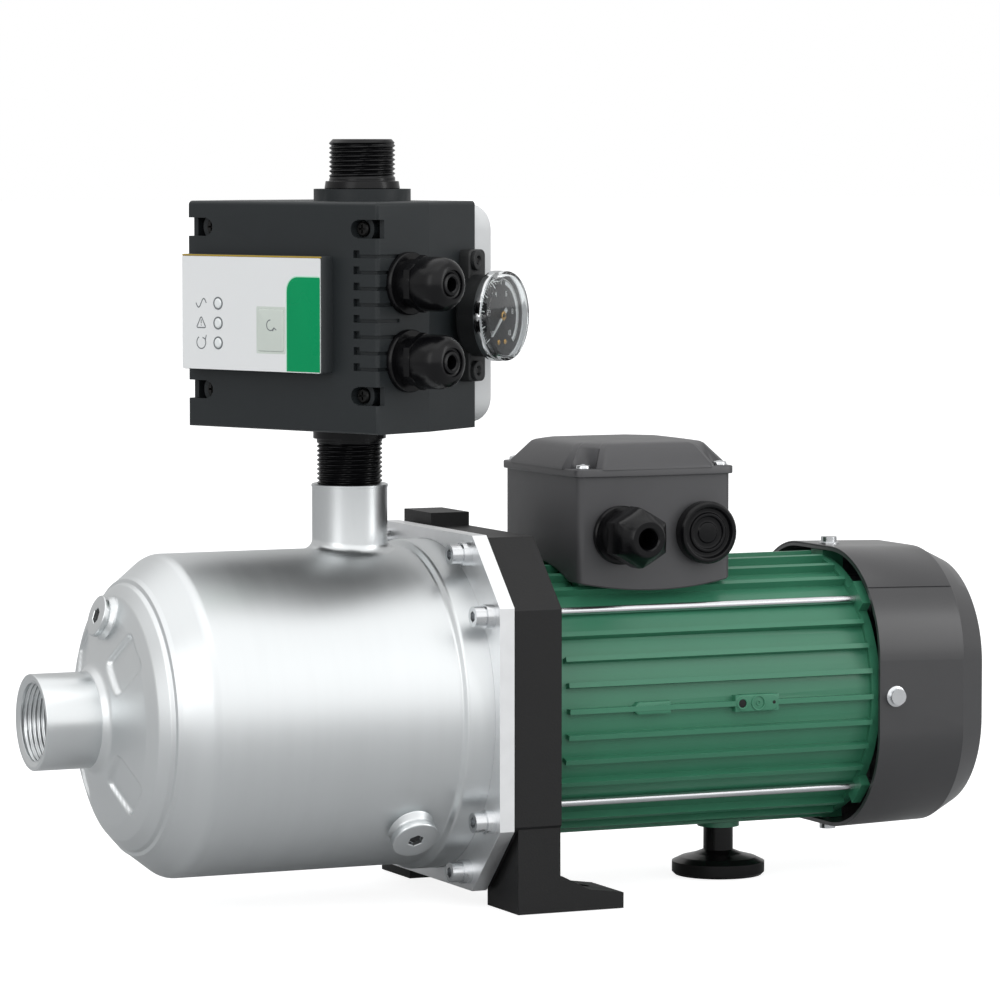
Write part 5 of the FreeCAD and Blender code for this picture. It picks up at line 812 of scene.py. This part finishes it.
# %% The gland and the blanking plug
MOTOR_GLAND = [
    (-8.0, 10, 5.0, 0), (-8.0, 26, 13.0, 0.9), (-3.5, 26, 13.0, 0.9), (-3.4, 20, 10.0, 0), (0.0, 20, 10, 0),
    (0.0, 30, 15.0, 0), (2.3, 30, 15.0, 0), (3.0, 29, 14.4, 0), (3.2, 25.4, 12.6, 0), (11.6, 25.2, 12.6, 0),
    (12.0, 26.4, 13.2, 0.95), (12.6, 27.0, 13.6, 0.97), (22.0, 27.0, 13.6, 0.97), (26.5, 26.4, 13.2, 0.85),
    (29.0, 24.0, 12.0, 0.4), (31.5, 21.0, 10.4, 0.1), (33.4, 19.0, 9.4, 0), (34.0, 17.6, 8.7, 0),
    (34.0, 12.0, 6.0, 0), (33.2, 10.6, 5.3, 0), (26.0, 10.0, 5.0, 0),
]
BOX_ENTRY_Y = -47.0
BOX_ENTRY_Z = 184.4
motor_gland_line = place((31.7, BOX_ENTRY_Y, BOX_ENTRY_Z), ALONG, UP)
motor_gland_piece = wear(gland("motor_gland_nut", MOTOR_GLAND, motor_gland_line), gland_plastic)
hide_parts("motor_cable_gland")
blank_line = place((79.3, BOX_ENTRY_Y, BOX_ENTRY_Z), ALONG, UP)
blank_piece = turned(
    "blanking_plug_ribbed",
    [(-8, 0.02), (-8, 10), (0, 10), (0, 16), (5.6, 16), (7, 14.9), (7, 13.2), (4.4, 12.4), (4.4, 10.4),
     (5.4, 9.8), (5.4, 8.6), (4.2, 8.0), (4.2, 5.6), (5.0, 5.0), (5.0, 0.02)],
    blank_line, radii=[0, 0.4, 0.2, 0.3, 0.9, 0.6, 0.6, 0.4, 0.4, 0.3, 0.3, 0.3, 0.3, 0.3, 0])
wear(blank_piece, gland_plastic)
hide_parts("blanking_plug")
print("box entries made:", motor_gland_piece.name, blank_piece.name)

# %% [markdown]
# ## Printed marks
# The panel's printing is a film a few hundredths of a millimetre thick. Here each printed shape is a very
# thin plate, and each line a ribbon along a path, whose ring is a small rectangle at every point.


# %% Plates and ribbons
def plate(name, outline, low, high, spot, edge):
    """A flat plate whose upper edge is rounded."""
    return moulded(name, outline, eased(low, high, min(edge, (high - low) * 0.9)), spot)


def ribbon(name, path, width, low, high, spot, closed=False, body="pump_set"):
    """A line of a width along a path: sideways at a point is the mean of its two sides' normals."""
    path = np.asarray(path, float)
    before = path - np.roll(path, 1, 0)
    after = np.roll(path, -1, 0) - path
    if not closed:
        before[0], after[-1] = after[0], before[-1]
    normals = [np.stack([-side[:, 1], side[:, 0]], -1) / np.linalg.norm(side, axis=1, keepdims=True)
               for side in (before, after)]
    mean = normals[0] + normals[1]
    mean /= np.maximum((mean * normals[0]).sum(1, keepdims=True), 0.3)
    left, right = path + mean * width / 2, path - mean * width / 2
    rings = np.stack([at_height(left, low), at_height(left, high), at_height(right, high),
                      at_height(right, low)], 1)
    return skin(name, rings, spot, body, closed=closed, sharp=20.0)


def arc(radius, start, end, centre=(0, 0), count=40):
    """Points on a circle from one angle to another, in degrees."""
    angle = np.radians(np.linspace(start, end, count))
    return np.stack([centre[0] + radius * np.cos(angle), centre[1] + radius * np.sin(angle)], -1)


# %% [markdown]
# ## The control panel
# The panel is a shallow tray of dark plastic under a pale film. The film shows three signal lights with
# their signs, the reset button's field and a green block with a pale outline, and it has a window for the
# button to sink through.

# %% The panel's tray and film
FILM_TOP = 8.0
PRINT_FOOT = 7.9
tray_outline = rounded([(-61, 29.3), (35, 29.3), (35, 87.0), (-61, 87.0)], 1.2)
tray = wear(moulded("panel_tray", tray_outline, [(0.0, 0), (7.3, 0), (7.6, 0.25)], unit_front), panel_edge)
BUTTON = rounded([(-8.0, 39.5), (9.5, 39.5), (9.5, 60.5), (-8.0, 60.5)], 1.0)
BUTTON_WINDOW = rounded([(-8.05, 39.45), (9.55, 39.45), (9.55, 60.55), (-8.05, 60.55)], 1.05)


def windowed(name, outline, low, high):
    """A thin film with the button's window in it, so that the button can sink through it."""
    rings = [at_height(outline, low), at_height(outline, high), at_height(BUTTON_WINDOW, high),
             at_height(BUTTON_WINDOW, low)]
    return skin(name, rings, unit_front, closed=True, sharp=32.0)


film_outline = rounded([(-60.8, 29.5), (34.2, 29.5), (34.2, 86.0), (-60.8, 86.0)], 0.8)
wear(windowed("panel_film", film_outline, 7.5, FILM_TOP), panel_film)
gold_outline = rounded([(-60.8, 86.1), (34.6, 86.1), (34.6, 86.9), (-60.8, 86.9)], 0.2)
wear(plate("panel_gold_edge", gold_outline, 7.4, 7.95, unit_front, 0.1), gold_film)
mint_outline = rounded([(11.0, 29.9), (34.0, 29.9), (34.0, 77.2), (11.0, 77.2)], [0.1, 0.1, 1.0, 7.4])
wear(plate("green_block_outline", mint_outline, PRINT_FOOT, FILM_TOP + 0.03, unit_front, 0.02), mint_film)
green_outline = rounded([(11.6, 29.9), (34.0, 29.9), (34.0, 76.6), (11.6, 76.6)], [0.1, 0.1, 0.8, 7.0])
wear(plate("green_block", green_outline, PRINT_FOOT, FILM_TOP + 0.06, unit_front, 0.02), green_film)
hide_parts("front_panel")
LIGHT_HEIGHTS = (42.8, 52.7, 62.6)
light_rings = together("light_rings", [
    turned("light_ring", [(PRINT_FOOT, 2.45), (PRINT_FOOT, 3.3), (8.15, 3.2), (8.15, 2.5)],
           moved(unit_front, (-35.7, height, 0)), closed=True, radii=0.05, around=48)
    for height in LIGHT_HEIGHTS])
wear(light_rings, grey_film)
print("panel film and lights made")

# %% Signs beside the lights
SIGN_X = -47.5
SIGN_TOP = 8.05


def sign(name, path, closed=False):
    """A line printed on the film."""
    return ribbon(name, path, 0.55, PRINT_FOOT, SIGN_TOP, unit_front, closed=closed)


wave = np.linspace(-3.6, 3.6, 40)
triangle = [(SIGN_X - 3.3, 50.2), (SIGN_X + 3.3, 50.2), (SIGN_X, 56.0)]
signs = [
    sign("supply_sign", np.stack([SIGN_X + wave, LIGHT_HEIGHTS[2] + 2.2 * np.sin(wave / 3.6 * np.pi)], -1)),
    sign("fault_sign", rounded(triangle, 0.5), closed=True),
    sign("fault_stroke", [(SIGN_X, 52.3), (SIGN_X, 54.2)]),
    sign("fault_dot", [(SIGN_X, 51.2), (SIGN_X, 51.7)]),
    sign("running_sign", arc(3.1, 120, 400, (SIGN_X, LIGHT_HEIGHTS[0]))),
    sign("running_tip", [(SIGN_X + 0.9, 45.3), (SIGN_X + 2.9, 44.5), (SIGN_X + 3.6, 46.6)]),
]
wear(together("panel_signs", signs), grey_film)
print("signs made:", len(signs))

# %% [markdown]
# ### The reset button
# The button is a cap of its own in the film's window, with an arrow printed on it. Cap and arrow ride on the
# button's body, so they go in together when it is pressed.

# %% The button and its arrow
BUTTON_TOP = 8.4
field_outline = rounded([(-9.2, 38.3), (10.7, 38.3), (10.7, 61.7), (-9.2, 61.7)], 0.8)
wear(windowed("button_field", field_outline, PRINT_FOOT, FILM_TOP + 0.02), button_film)
button_cap = wear(moulded("button_cap", BUTTON, eased(4.8, BUTTON_TOP, 0.5), unit_front, "button"),
                  button_film)
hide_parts("reset_button")
arrow_paths = (("button_arrow", arc(2.6, 90, 330, (0.8, 52.5))),
               ("button_tip", [(2.2, 49.6), (3.2, 51.2), (4.8, 50.2)]))
arrow_lines = [ribbon(name, path, 0.5, BUTTON_TOP - 0.05, BUTTON_TOP + 0.06, unit_front, body="button")
               for name, path in arrow_paths]
wear(together("button_mark", arrow_lines, "button"), grey_film)
print("button made:", button_cap.name)

# %% [markdown]
# ## The pressure gauge
# A small Bourdon gauge: a black case, a dial printed white on black, and a clear cup snapped over it.
# Figures on the dial are ribbons too, each from a few strokes on a grid two high and one wide.

# %% The case and the cup
gauge_case_piece = turned(
    "gauge_case_round",
    [(-16, 0.02), (-16, 5), (4, 5), (4, 20.5), (15.5, 20.5), (15.5, 21.4), (18.0, 21.4), (18.0, 0.8),
     (20.7, 0.8), (20.7, 0.02)],
    gauge, radii=[0, 0.4, 0.4, 1.5, 0.4, 0.3, 0.1, 0.1, 0.2, 0])
backplate = moulded("gauge_backplate", rounded([(-8.5, -33), (8.5, -33), (8.5, 33), (-8.5, 33)], 3.5),
                    eased(0.02, 6.0, 1.0), gauge)
lug_spots = [moved(gauge, (-2.5, height, 0)) for height in (-27.5, 27.5)]
lugs = [turned("gauge_lug", [(5.0, 1.8), (5.0, 5.0), (8.0, 5.0), (8.0, 2.6), (6.4, 1.8)], spot, closed=True,
               around=48) for spot in lug_spots]
case_piece = wear(together("gauge_case_dressed", [gauge_case_piece, backplate] + lugs), unit_dark_plastic)
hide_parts("gauge_case")
lug_screws = [turned("lug_screw", [(4.8, 0.02), (4.8, 2.4), (6.6, 2.4), (7.2, 1.4), (7.2, 0.02)], spot,
                     around=32, radii=[0, 0, 0.5, 0.3, 0]) for spot in lug_spots]
wear(together("gauge_lug_screws", lug_screws), gland_plastic)
cup = turned("gauge_cup", [(22.6, 0.02), (22.6, 20.6), (19.4, 20.6), (19.4, 22.4), (24.0, 22.4),
                           (24.0, 0.02)], gauge, radii=[0, 1.0, 0.1, 0.1, 1.8, 0], around=128)
wear(cup, clear_lens)
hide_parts("gauge_lens")
ring = turned("gauge_ring", [(15.2, 21.45), (15.2, 22.6), (19.3, 22.6), (19.3, 21.45)], gauge, closed=True,
              radii=0.3, around=128)
wear(ring, chrome)
DIAL = 18.5
dial = turned("gauge_dial", [(18.05, 0.9), (18.05, 21.4), (DIAL, 21.4), (DIAL, 0.9)], gauge, closed=True,
              radii=0.05, around=128)
wear(dial, dial_black)
print("gauge pieces made:", case_piece.name, cup.name, ring.name, dial.name)

# %% [markdown]
# ### The dial's print
# The scale runs through 270 degrees. It has eleven long ticks, every second one with its number, and fine
# ticks between them.

# %% The dial's print
STROKES = {
    "0": [[(0, 0), (1, 0), (1, 2), (0, 2), (0, 0)]],
    "1": [[(0.5, 0), (0.5, 2)]],
    "2": [[(0, 2), (1, 2), (1, 1), (0, 1), (0, 0), (1, 0)]],
    "4": [[(0, 2), (0, 1), (1, 1)], [(1, 2), (1, 0)]],
    "6": [[(1, 2), (0, 2), (0, 0), (1, 0), (1, 1), (0, 1)]],
    "8": [[(0, 0), (1, 0), (1, 2), (0, 2), (0, 0)], [(0, 1), (1, 1)]],
}


def printed(name, path, width, rise=0.04):
    """A line printed on the dial."""
    return ribbon(name, path, width, DIAL - 0.1, DIAL + rise, gauge)


def figure(text, centre, size):
    """The lines of a number, centred on a point: each figure takes 1.5 units of width."""
    made = []
    for k, digit in enumerate(text):
        shift = np.array([(k - len(text) / 2) * 1.5 + 0.25, -1.0])
        for path in STROKES[digit]:
            made.append(printed("figure", (np.asarray(path, float) + shift) * size + centre, 0.32))
    return made


SCALE_START, SCALE_END = 225.0, -45.0


def scale_way(share):
    """The direction of a share of the scale on the dial."""
    turn = math.radians(SCALE_START + (SCALE_END - SCALE_START) * share)
    return np.array([math.cos(turn), math.sin(turn)])


print_parts = []
for value in range(11):
    way = scale_way(value / 10)
    print_parts.append(printed("tick", [way * 15.6, way * 18.4], 0.5))
    if value % 2 == 0:
        print_parts += figure(str(value), way * 12.2, 1.15)
for value in range(50):
    way = scale_way(value / 50)
    print_parts.append(printed("fine_tick", [way * 17.2, way * 18.4], 0.22))
print_parts.append(printed("scale_line", arc(18.5, SCALE_START, SCALE_END, count=120), 0.35))
print_parts.append(printed("scale_band", arc(16.9, 75, SCALE_END, count=90), 1.9, 0.03))
print("lines on the dial:", len(print_parts))
wear(together("gauge_print", print_parts), dial_white)

# %% [markdown]
# ### The needle
# The needle rests at the low end of the scale. It tapers to its tip, turns on the gauge's middle line, and
# rides on the pointer's body with its hub.

# %% The needle and its hub
NEEDLE_TURN = math.radians(222)
dial_right, dial_up = gauge[1][0], gauge[1][1]
needle_line = place(gauge[0], math.cos(NEEDLE_TURN) * dial_right + math.sin(NEEDLE_TURN) * dial_up,
                    -math.sin(NEEDLE_TURN) * dial_right + math.cos(NEEDLE_TURN) * dial_up)
needle_outline = np.array([(-5.0, -0.9), (2.0, -0.7), (15.0, -0.12), (15.0, 0.12), (2.0, 0.7), (-5.0, 0.9)])
needle = moulded("pointer_needle", needle_outline, [(19.2, 0), (19.9, 0), (20.0, 0.08)], needle_line,
                 "pointer")
wear(needle, dial_white)
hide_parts("gauge_pointer")
hub = turned("pointer_hub", [(18.9, 0.85), (18.9, 2.4), (20.3, 2.4), (20.3, 0.85)], gauge, "pointer",
             closed=True, around=48, radii=0.3)
wear(hub, brass)
dial_screws = [turned("dial_screw", [(DIAL - 0.1, 0.02), (DIAL - 0.1, 1.3), (DIAL + 0.8, 1.3),
                                     (DIAL + 0.8, 0.02)],
                      moved(gauge, (across, -13.0, 0)), around=32, radii=[0, 0, 0.4, 0])
               for across in (-3.4, 3.4)]
wear(together("dial_screws", dial_screws), brass)
print("needle made:", needle.name)

# %% [markdown]
# ## The terminal box
# Box and lid are moulded in dark polyamide. The walls bow outwards a little, which keeps thin mouldings
# stiff, and the lid slopes in on all sides to a flat top. At each corner the slope is cut back by a round
# notch, in which a screw stands.


# %% Bowed boxes
def bowed(half_across, half_up, bow, corner, centre, per_side=24):
    """A rectangle with rounded corners whose sides bulge by a bow: each side is a parabola."""
    share = np.linspace(-1, 1, per_side)
    across, up = half_across - bow, half_up - bow
    lines = []
    for side, (length, level) in enumerate(((up, half_across), (across, half_up)) * 2):
        run = share * (length - corner)
        out = (level - bow) + bow * (1 - (run / length) ** 2)
        turn = side * math.pi / 2
        swing = np.array([[math.cos(turn), math.sin(turn)], [-math.sin(turn), math.cos(turn)]])
        lines.append(np.stack([out, run], -1) @ swing)
    parts = []
    for side in range(4):
        end, start = lines[side][-1], lines[(side + 1) % 4][0]
        knee = np.sign(end + start) * np.array([across, up])
        parts += [lines[side], rounded([end, knee, start], corner, closed=False, steps=8)[1:-1]]
    return np.concatenate(parts) + np.array([centre, 0.0])


upright_line = place((0, 0, AXIS_HEIGHT), ALONG, SIDEWAYS)
BOX_X = 52.7
BOX_HALF = 45.2
BOX_TOP = 115.9
box_outline = bowed(BOX_HALF, 47.0, 2.2, 7.0, BOX_X)
along_box, off_axis = box_outline[:, 0] - BOX_X, box_outline[:, 1]
seat = np.maximum(57.5 + 5.0 * (along_box / BOX_HALF) ** 2, np.sqrt(70.9 ** 2 - off_axis ** 2))


def box_ring(inset, height):
    """The box's outline drawn in by an inset, at a height that may differ from point to point."""
    flat = drawn_in(box_outline, inset)
    return np.concatenate([flat, np.broadcast_to(height, len(flat))[:, None]], -1)


box_rings = [box_ring(0.5, seat), box_ring(0.0, seat + 0.7), box_ring(0.0, BOX_TOP), box_ring(3.0, BOX_TOP),
             box_ring(3.0, seat)]
box_piece = wear(skin("terminal_box_bowed", box_rings, upright_line, closed=True, sharp=35.0), box_plastic)
print("box outline points:", len(box_outline))


# %% [markdown]
# ### The lid
# The lid is a level skirt with a sloped crown on it. The crown's outline is worked out ray by ray, because
# the round notches for the screws cut further in than an inset of a plain outline could follow.

# %% The lid and its screw recesses
LID_SCREW = (38.7, 40.5)
NOTCH = 7.0


def angle_to_nearest(turn, corners):
    """How far each angle is from the nearest of the corners' angles."""
    return np.abs((turn[:, None] - corners + math.pi) % (2 * math.pi) - math.pi).min(1)


def notched(half_across, half_up, cut, centre, bow=1.6, around=320):
    """A bowed octagon found ray by ray from the middle: each ray stops at its side, or at the near wall of
    the round notch about a corner screw, and beside a notch two points share a ray, so that the notch runs
    out square."""
    far = math.hypot(*LID_SCREW)
    spread = math.asin(NOTCH / far)
    corner = math.atan2(LID_SCREW[1], LID_SCREW[0])
    corners = np.array([corner, math.pi - corner, math.pi + corner, -corner]) % (2 * math.pi)
    even = np.arange(around) / around * 2 * math.pi
    even = even[angle_to_nearest(even, corners) > spread * 1.03]
    edges = np.concatenate([corners - spread, corners + spread])
    inside = np.concatenate([corner + np.linspace(-1, 1, 15)[1:-1] * spread for corner in corners])
    turn = np.concatenate([even, edges, edges, inside])
    near = np.concatenate([np.zeros(len(even) + len(edges)), np.ones(len(edges) + len(inside))])
    side = np.where(np.isin(turn, corners - spread), 1.0, -1.0)
    order = np.lexsort((near * side, np.round(turn % (2 * math.pi), 9)))
    turn, near = turn[order] % (2 * math.pi), near[order] > 0
    across, up = np.abs(np.cos(turn)) + 1e-9, np.abs(np.sin(turn)) + 1e-9
    reach = np.minimum(half_across / across, half_up / up)
    wide = half_across + bow * (1 - np.clip(reach * up / half_up, 0, 1) ** 2)
    high = half_up + bow * (1 - np.clip(reach * across / half_across, 0, 1) ** 2)
    reach = np.minimum(np.minimum(wide / across, high / up), (half_across + half_up - cut) / (across + up))
    off = angle_to_nearest(turn, corners)
    wall = far * np.cos(off) - np.sqrt(np.maximum(NOTCH ** 2 - (far * np.sin(off)) ** 2, 0))
    reach = np.where(near, np.minimum(reach, wall), reach)
    return np.stack([centre + reach * np.cos(turn), reach * np.sin(turn)], -1)


lid_outer = bowed(46.8, 48.6, 2.2, 8.0, BOX_X)
skirt_levels = [(116.0, 0.3), (116.3, 0.0), (119.4, 0.0), (119.8, 0.2), (120.0, 0.6)]
skirt_piece = moulded("lid_skirt", lid_outer, skirt_levels, upright_line, sharp=35.0)
CROWN_ACROSS, CROWN_UP = 45.4, 47.2
CROWN_LEVELS = ((119.5, 0.0, 14.0), (121.0, 0.3, 14.0), (129.8, 8.2, 11.0), (131.0, 9.4, 10.6),
                (131.8, 11.0, 10.2), (132.3, 14.0, 9.4), (132.5, 18.0, 8.0))
crown_rings = [at_height(notched(CROWN_ACROSS - inset, CROWN_UP - inset, cut, BOX_X), height)
               for height, inset, cut in CROWN_LEVELS]
lid_crown = skin("lid_crown", crown_rings, upright_line, sharp=28.0)
lid_piece = wear(together("terminal_lid_sloped", [skirt_piece, lid_crown]), box_plastic)
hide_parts("terminal_box")
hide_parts("terminal_lid")
lid_spots = [moved(upright_line, (BOX_X + side * LID_SCREW[0], level * LID_SCREW[1], 0))
             for side in (-1, 1) for level in (-1, 1)]
LID_SCREW_PROFILE = [(104.0, 0.02), (104.0, 2.0), (119.9, 2.0), (119.9, 3.9), (121.9, 3.6), (122.4, 1.4),
                     (121.4, 0.02)]
lid_screw_heads = [turned("lid_screw_head", LID_SCREW_PROFILE, spot, around=48,
                          radii=[0, 0.2, 0.2, 0.4, 0.5, 0.2, 0]) for spot in lid_spots]
screws_piece = wear(together("lid_screws_bright", lid_screw_heads), bright_screw)
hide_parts("lid_screws")
print("lid screws made:", len(lid_spots))

# %% [markdown]
# ## The unit's rear cover
# The rear cover is a shallow tray moulded in light grey ABS, with rounded corners and a rounded rim. It
# closes the housing's back, so its inside isn't seen: a block with the same outside, rounded by a quarter
# circle at its rim, shows all that the eye meets.


# %% The rear cover's outside
COVER_FRONT = -84.1
COVER_DEPTH = 15.0
COVER_MIDDLE = 56.8
cover_low, cover_high = COVER_MIDDLE - 55, COVER_MIDDLE + 55
cover_corners = [(-53.5, cover_low), (53.5, cover_low), (53.5, cover_high), (-53.5, cover_high)]
cover_levels = [(COVER_FRONT - rise, inset) for rise, inset in eased(0.0, COVER_DEPTH, 3.0)]
cover_piece = moulded("rear_cover_rounded", rounded(cover_corners, 13.0, steps=12), cover_levels, unit_front)
wear(cover_piece, grey_plastic)
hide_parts("unit_rear_cover")
print("rear cover made")

# %% [markdown]
# ## The fan cover's fold
# The sheet over the top of the fan cover laps the side sheet by its own thickness, and the lap shows as a
# dark line along the cover. The lap is a thin strip bent over the cover's own section, from one fold up over
# the top to the other: two arcs with a straight between them.


# %% The lap over the fan cover
COVER_CORNER = 55.0


def lap_path(grow, taper, fold=math.radians(42), steps=24):
    """Half the cover's section from the fold to the top, mirrored: an arc with a growth added."""
    turn = np.linspace(fold, np.pi / 2, steps)
    centre = 18.6 - taper
    radius = COVER_CORNER + grow
    near = np.stack([-centre - radius * np.cos(turn), centre + radius * np.sin(turn)], -1)
    return np.concatenate([near, (near * np.array([-1.0, 1.0]))[::-1]])


lap_rings = [at_height(np.concatenate([lap_path(grow, taper), lap_path(-0.4, taper)[::-1]]), along)
             for along, taper, grow in ((168.0, 0.0, 0.2), (168.3, 0.0, 0.5), (217.4, 1.09, 0.5),
                                        (218.0, 1.1, 0.1))]
wear(skin("fan_cover_lap", lap_rings, shaft_line, sharp=35.0), black_sheet_paint)
print("fan cover lap made")

# %% [markdown]
# ## Marks on the motor
# The housing carries two cast marks between its fins: a plate with an arrow for the direction of turning,
# and a boss with the earth screw. They are part of the casting, so they take its coat.

# %% The arrow and the earth boss
motor_side = place((0, 0, AXIS_HEIGHT), ALONG, UP)
SIDE_FACE = 66.5
ROOT = SIDE_FACE - 1.5
ARROW = [(31.5, -3.1), (49.4, -3.1), (49.4, 3.1), (31.5, 3.1), (28.0, 0)]
arrow_plate = plate("arrow_plate", rounded(ARROW, 0.6), ROOT, SIDE_FACE + 3.8, motor_side, 0.6)
earth_pad = plate("earth_pad", rounded([(86, -4.4), (111, -4.4), (111, 4.4), (86, 4.4)], 4.2), ROOT,
                  SIDE_FACE + 4.2, motor_side, 0.8)
RIMS = ((98.9, 4.8, 3.2, 4.0), (98.9, 4.6, 0.8, 1.4), (89.8, 4.7, 2.2, 3.2))
RIM_FOOT = SIDE_FACE + 4.1
rims = [turned("mark_rim", [(RIM_FOOT, bore), (RIM_FOOT, rim), (SIDE_FACE + high, rim),
                            (SIDE_FACE + high, bore)],
               moved(motor_side, (across, 0, 0)), closed=True, around=40, radii=0.2)
        for across, high, bore, rim in RIMS]
wear(together("motor_marks", [arrow_plate, earth_pad] + rims), green_coat)
# The dark discs at the bottom of the marks' holes are painted shade.
HOLES = ((32.5, 0.9, 3.86), (89.8, 2.1, 4.26), (108.0, 0.9, 4.26))
HOLE_FOOT = SIDE_FACE + 3.0
holes = [turned("mark_hole", [(HOLE_FOOT, 0.02), (HOLE_FOOT, size), (SIDE_FACE + top, size),
                              (SIDE_FACE + top, 0.02)],
                moved(motor_side, (across, 0, 0)), around=32, radii=0.02) for across, size, top in HOLES]
wear(together("mark_holes", holes), painted_hole_shade)
print("motor marks made")

# %% [markdown]
# ## Floor, light and camera
# A plain floor and a soft light show the object as a catalogue does. The floor is white to the camera,
# through Light Path, and grey paper to every other ray, so that it lights the object little from below. The
# world is like a light tent: white where the camera sees it, bright in front of the object and dimmer behind
# it. The camera stands where the photograph was taken from, 24.4 degrees round towards the suction end and
# 4.1 degrees up from the floor's level.


# %% The floor
def studio_paper(name):
    """A floor that is white to the camera but for a faint shadow, and grey paper to every other ray."""
    material = bpy.data.materials.new(name)
    material.use_nodes = True
    tree = material.node_tree
    tree.nodes.clear()
    path = add(tree, "ShaderNodeLightPath")
    paper = add(tree, "ShaderNodeBsdfDiffuse", Color=linear("#B4B5B6"))
    glow = add(tree, "ShaderNodeEmission", Color=linear("#FFFFFF"), Strength=0.86)
    both = add(tree, "ShaderNodeAddShader", [(0, paper, 0), (1, glow, 0)])
    chosen = add(tree, "ShaderNodeMixShader", [(0, path, "Is Camera Ray"), (1, paper, 0), (2, both, 0)])
    add(tree, "ShaderNodeOutputMaterial", [("Surface", chosen, 0)])
    return material


floor_mesh = bpy.data.meshes.new("floor")
FLOOR_REACH = 30.0
FLOOR_DROP = 0.0005
floor_corners = [(x * FLOOR_REACH, y * FLOOR_REACH, 0) for x, y in ((-1, -1), (1, -1), (1, 1), (-1, 1))]
floor_mesh.from_pydata(floor_corners, [], [(0, 1, 2, 3)])
floor = bpy.data.objects.new("floor", floor_mesh)
floor.location.z = -FLOOR_DROP
bpy.context.scene.collection.objects.link(floor)
wear(floor, studio_paper("white_studio_paper"))
print("floor made:", floor.name)

# %% [markdown]
# ### The world
# The world's strength follows the direction that a ray leaves in: its dot product with a direction in front
# of the object goes from 0.6 to 1.3 by a smooth step. The camera, and rays through the clear cup, see white.

# %% The world
IN_FRONT = (-0.12, -0.99, 0.08)
world = bpy.data.worlds.new("studio")
bpy.context.scene.world = world
world.use_nodes = True
sky = world.node_tree
sky.nodes.clear()
path = add(sky, "ShaderNodeLightPath")
seen = add(sky, "ShaderNodeMath", [(0, path, "Is Camera Ray"), (1, path, "Is Transmission Ray")],
           operation="MAXIMUM")
where = add(sky, "ShaderNodeTexCoord")
ahead = add(sky, "ShaderNodeVectorMath", [(0, where, "Generated")], operation="DOT_PRODUCT")
ahead.inputs[1].default_value = IN_FRONT
glow = add(sky, "ShaderNodeMapRange", [("Value", ahead, "Value")], interpolation_type="SMOOTHSTEP",
           From__Min=-0.05, From__Max=0.7, To__Min=0.6, To__Max=1.3)
light = add(sky, "ShaderNodeBackground", [("Strength", glow, "Result")], Color=linear("#FFFFFF"))
white = add(sky, "ShaderNodeBackground", Color=linear("#FFFFFF"), Strength=1.0)
mixed = add(sky, "ShaderNodeMixShader", [(0, seen, 0), (1, light, 0), (2, white, 0)])
add(sky, "ShaderNodeOutputWorld", [("Surface", mixed, 0)])
print("world made:", world.name)

# %% [markdown]
# ### Lamps and camera
# A wide lamp above gives the soft light and the faint shadow, and two smaller ones draw long highlights on
# the left and right sides. The camera is long in focus, as for a catalogue picture.


# %% Lamps and camera
def lamp(name, location, target, size, watts):
    """A soft rectangular lamp that looks at a point."""
    data = bpy.data.lights.new(name, "AREA")
    data.shape = "RECTANGLE"
    data.size, data.size_y = size
    data.energy = watts
    holder = bpy.data.objects.new(name, data)
    bpy.context.scene.collection.objects.link(holder)
    holder.location = location
    holder.rotation_euler = (target - holder.location).to_track_quat("-Z", "Y").to_euler()
    return holder


middle = Vector((0.0, 0.0, 0.15))
lamp("top_softbox", Vector((-0.2, 0.2, 1.9)), middle, (2.4, 3.0), 15)
lamp("left_softbox", Vector((-1.8, -1.0, 0.9)), middle, (0.9, 1.4), 4)
lamp("right_strip", Vector((1.6, -1.4, 0.8)), middle, (0.5, 1.4), 6)

CAMERA_UP = math.radians(4.092)
CAMERA_ROUND = math.radians(-24.401)
camera_data = bpy.data.cameras.new("camera")
camera_data.lens = 178.0
camera_data.sensor_width = 36.0
camera_data.clip_end = 100.0
camera = bpy.data.objects.new("camera", camera_data)
bpy.context.scene.collection.objects.link(camera)
camera.location = (-1.0581, -2.3019, 0.3813)
camera.rotation_euler = (math.pi / 2 - CAMERA_UP, 0.0, CAMERA_ROUND)
bpy.context.scene.camera = camera
bpy.context.scene.view_settings.view_transform = "Standard"
print("lamps and camera made")
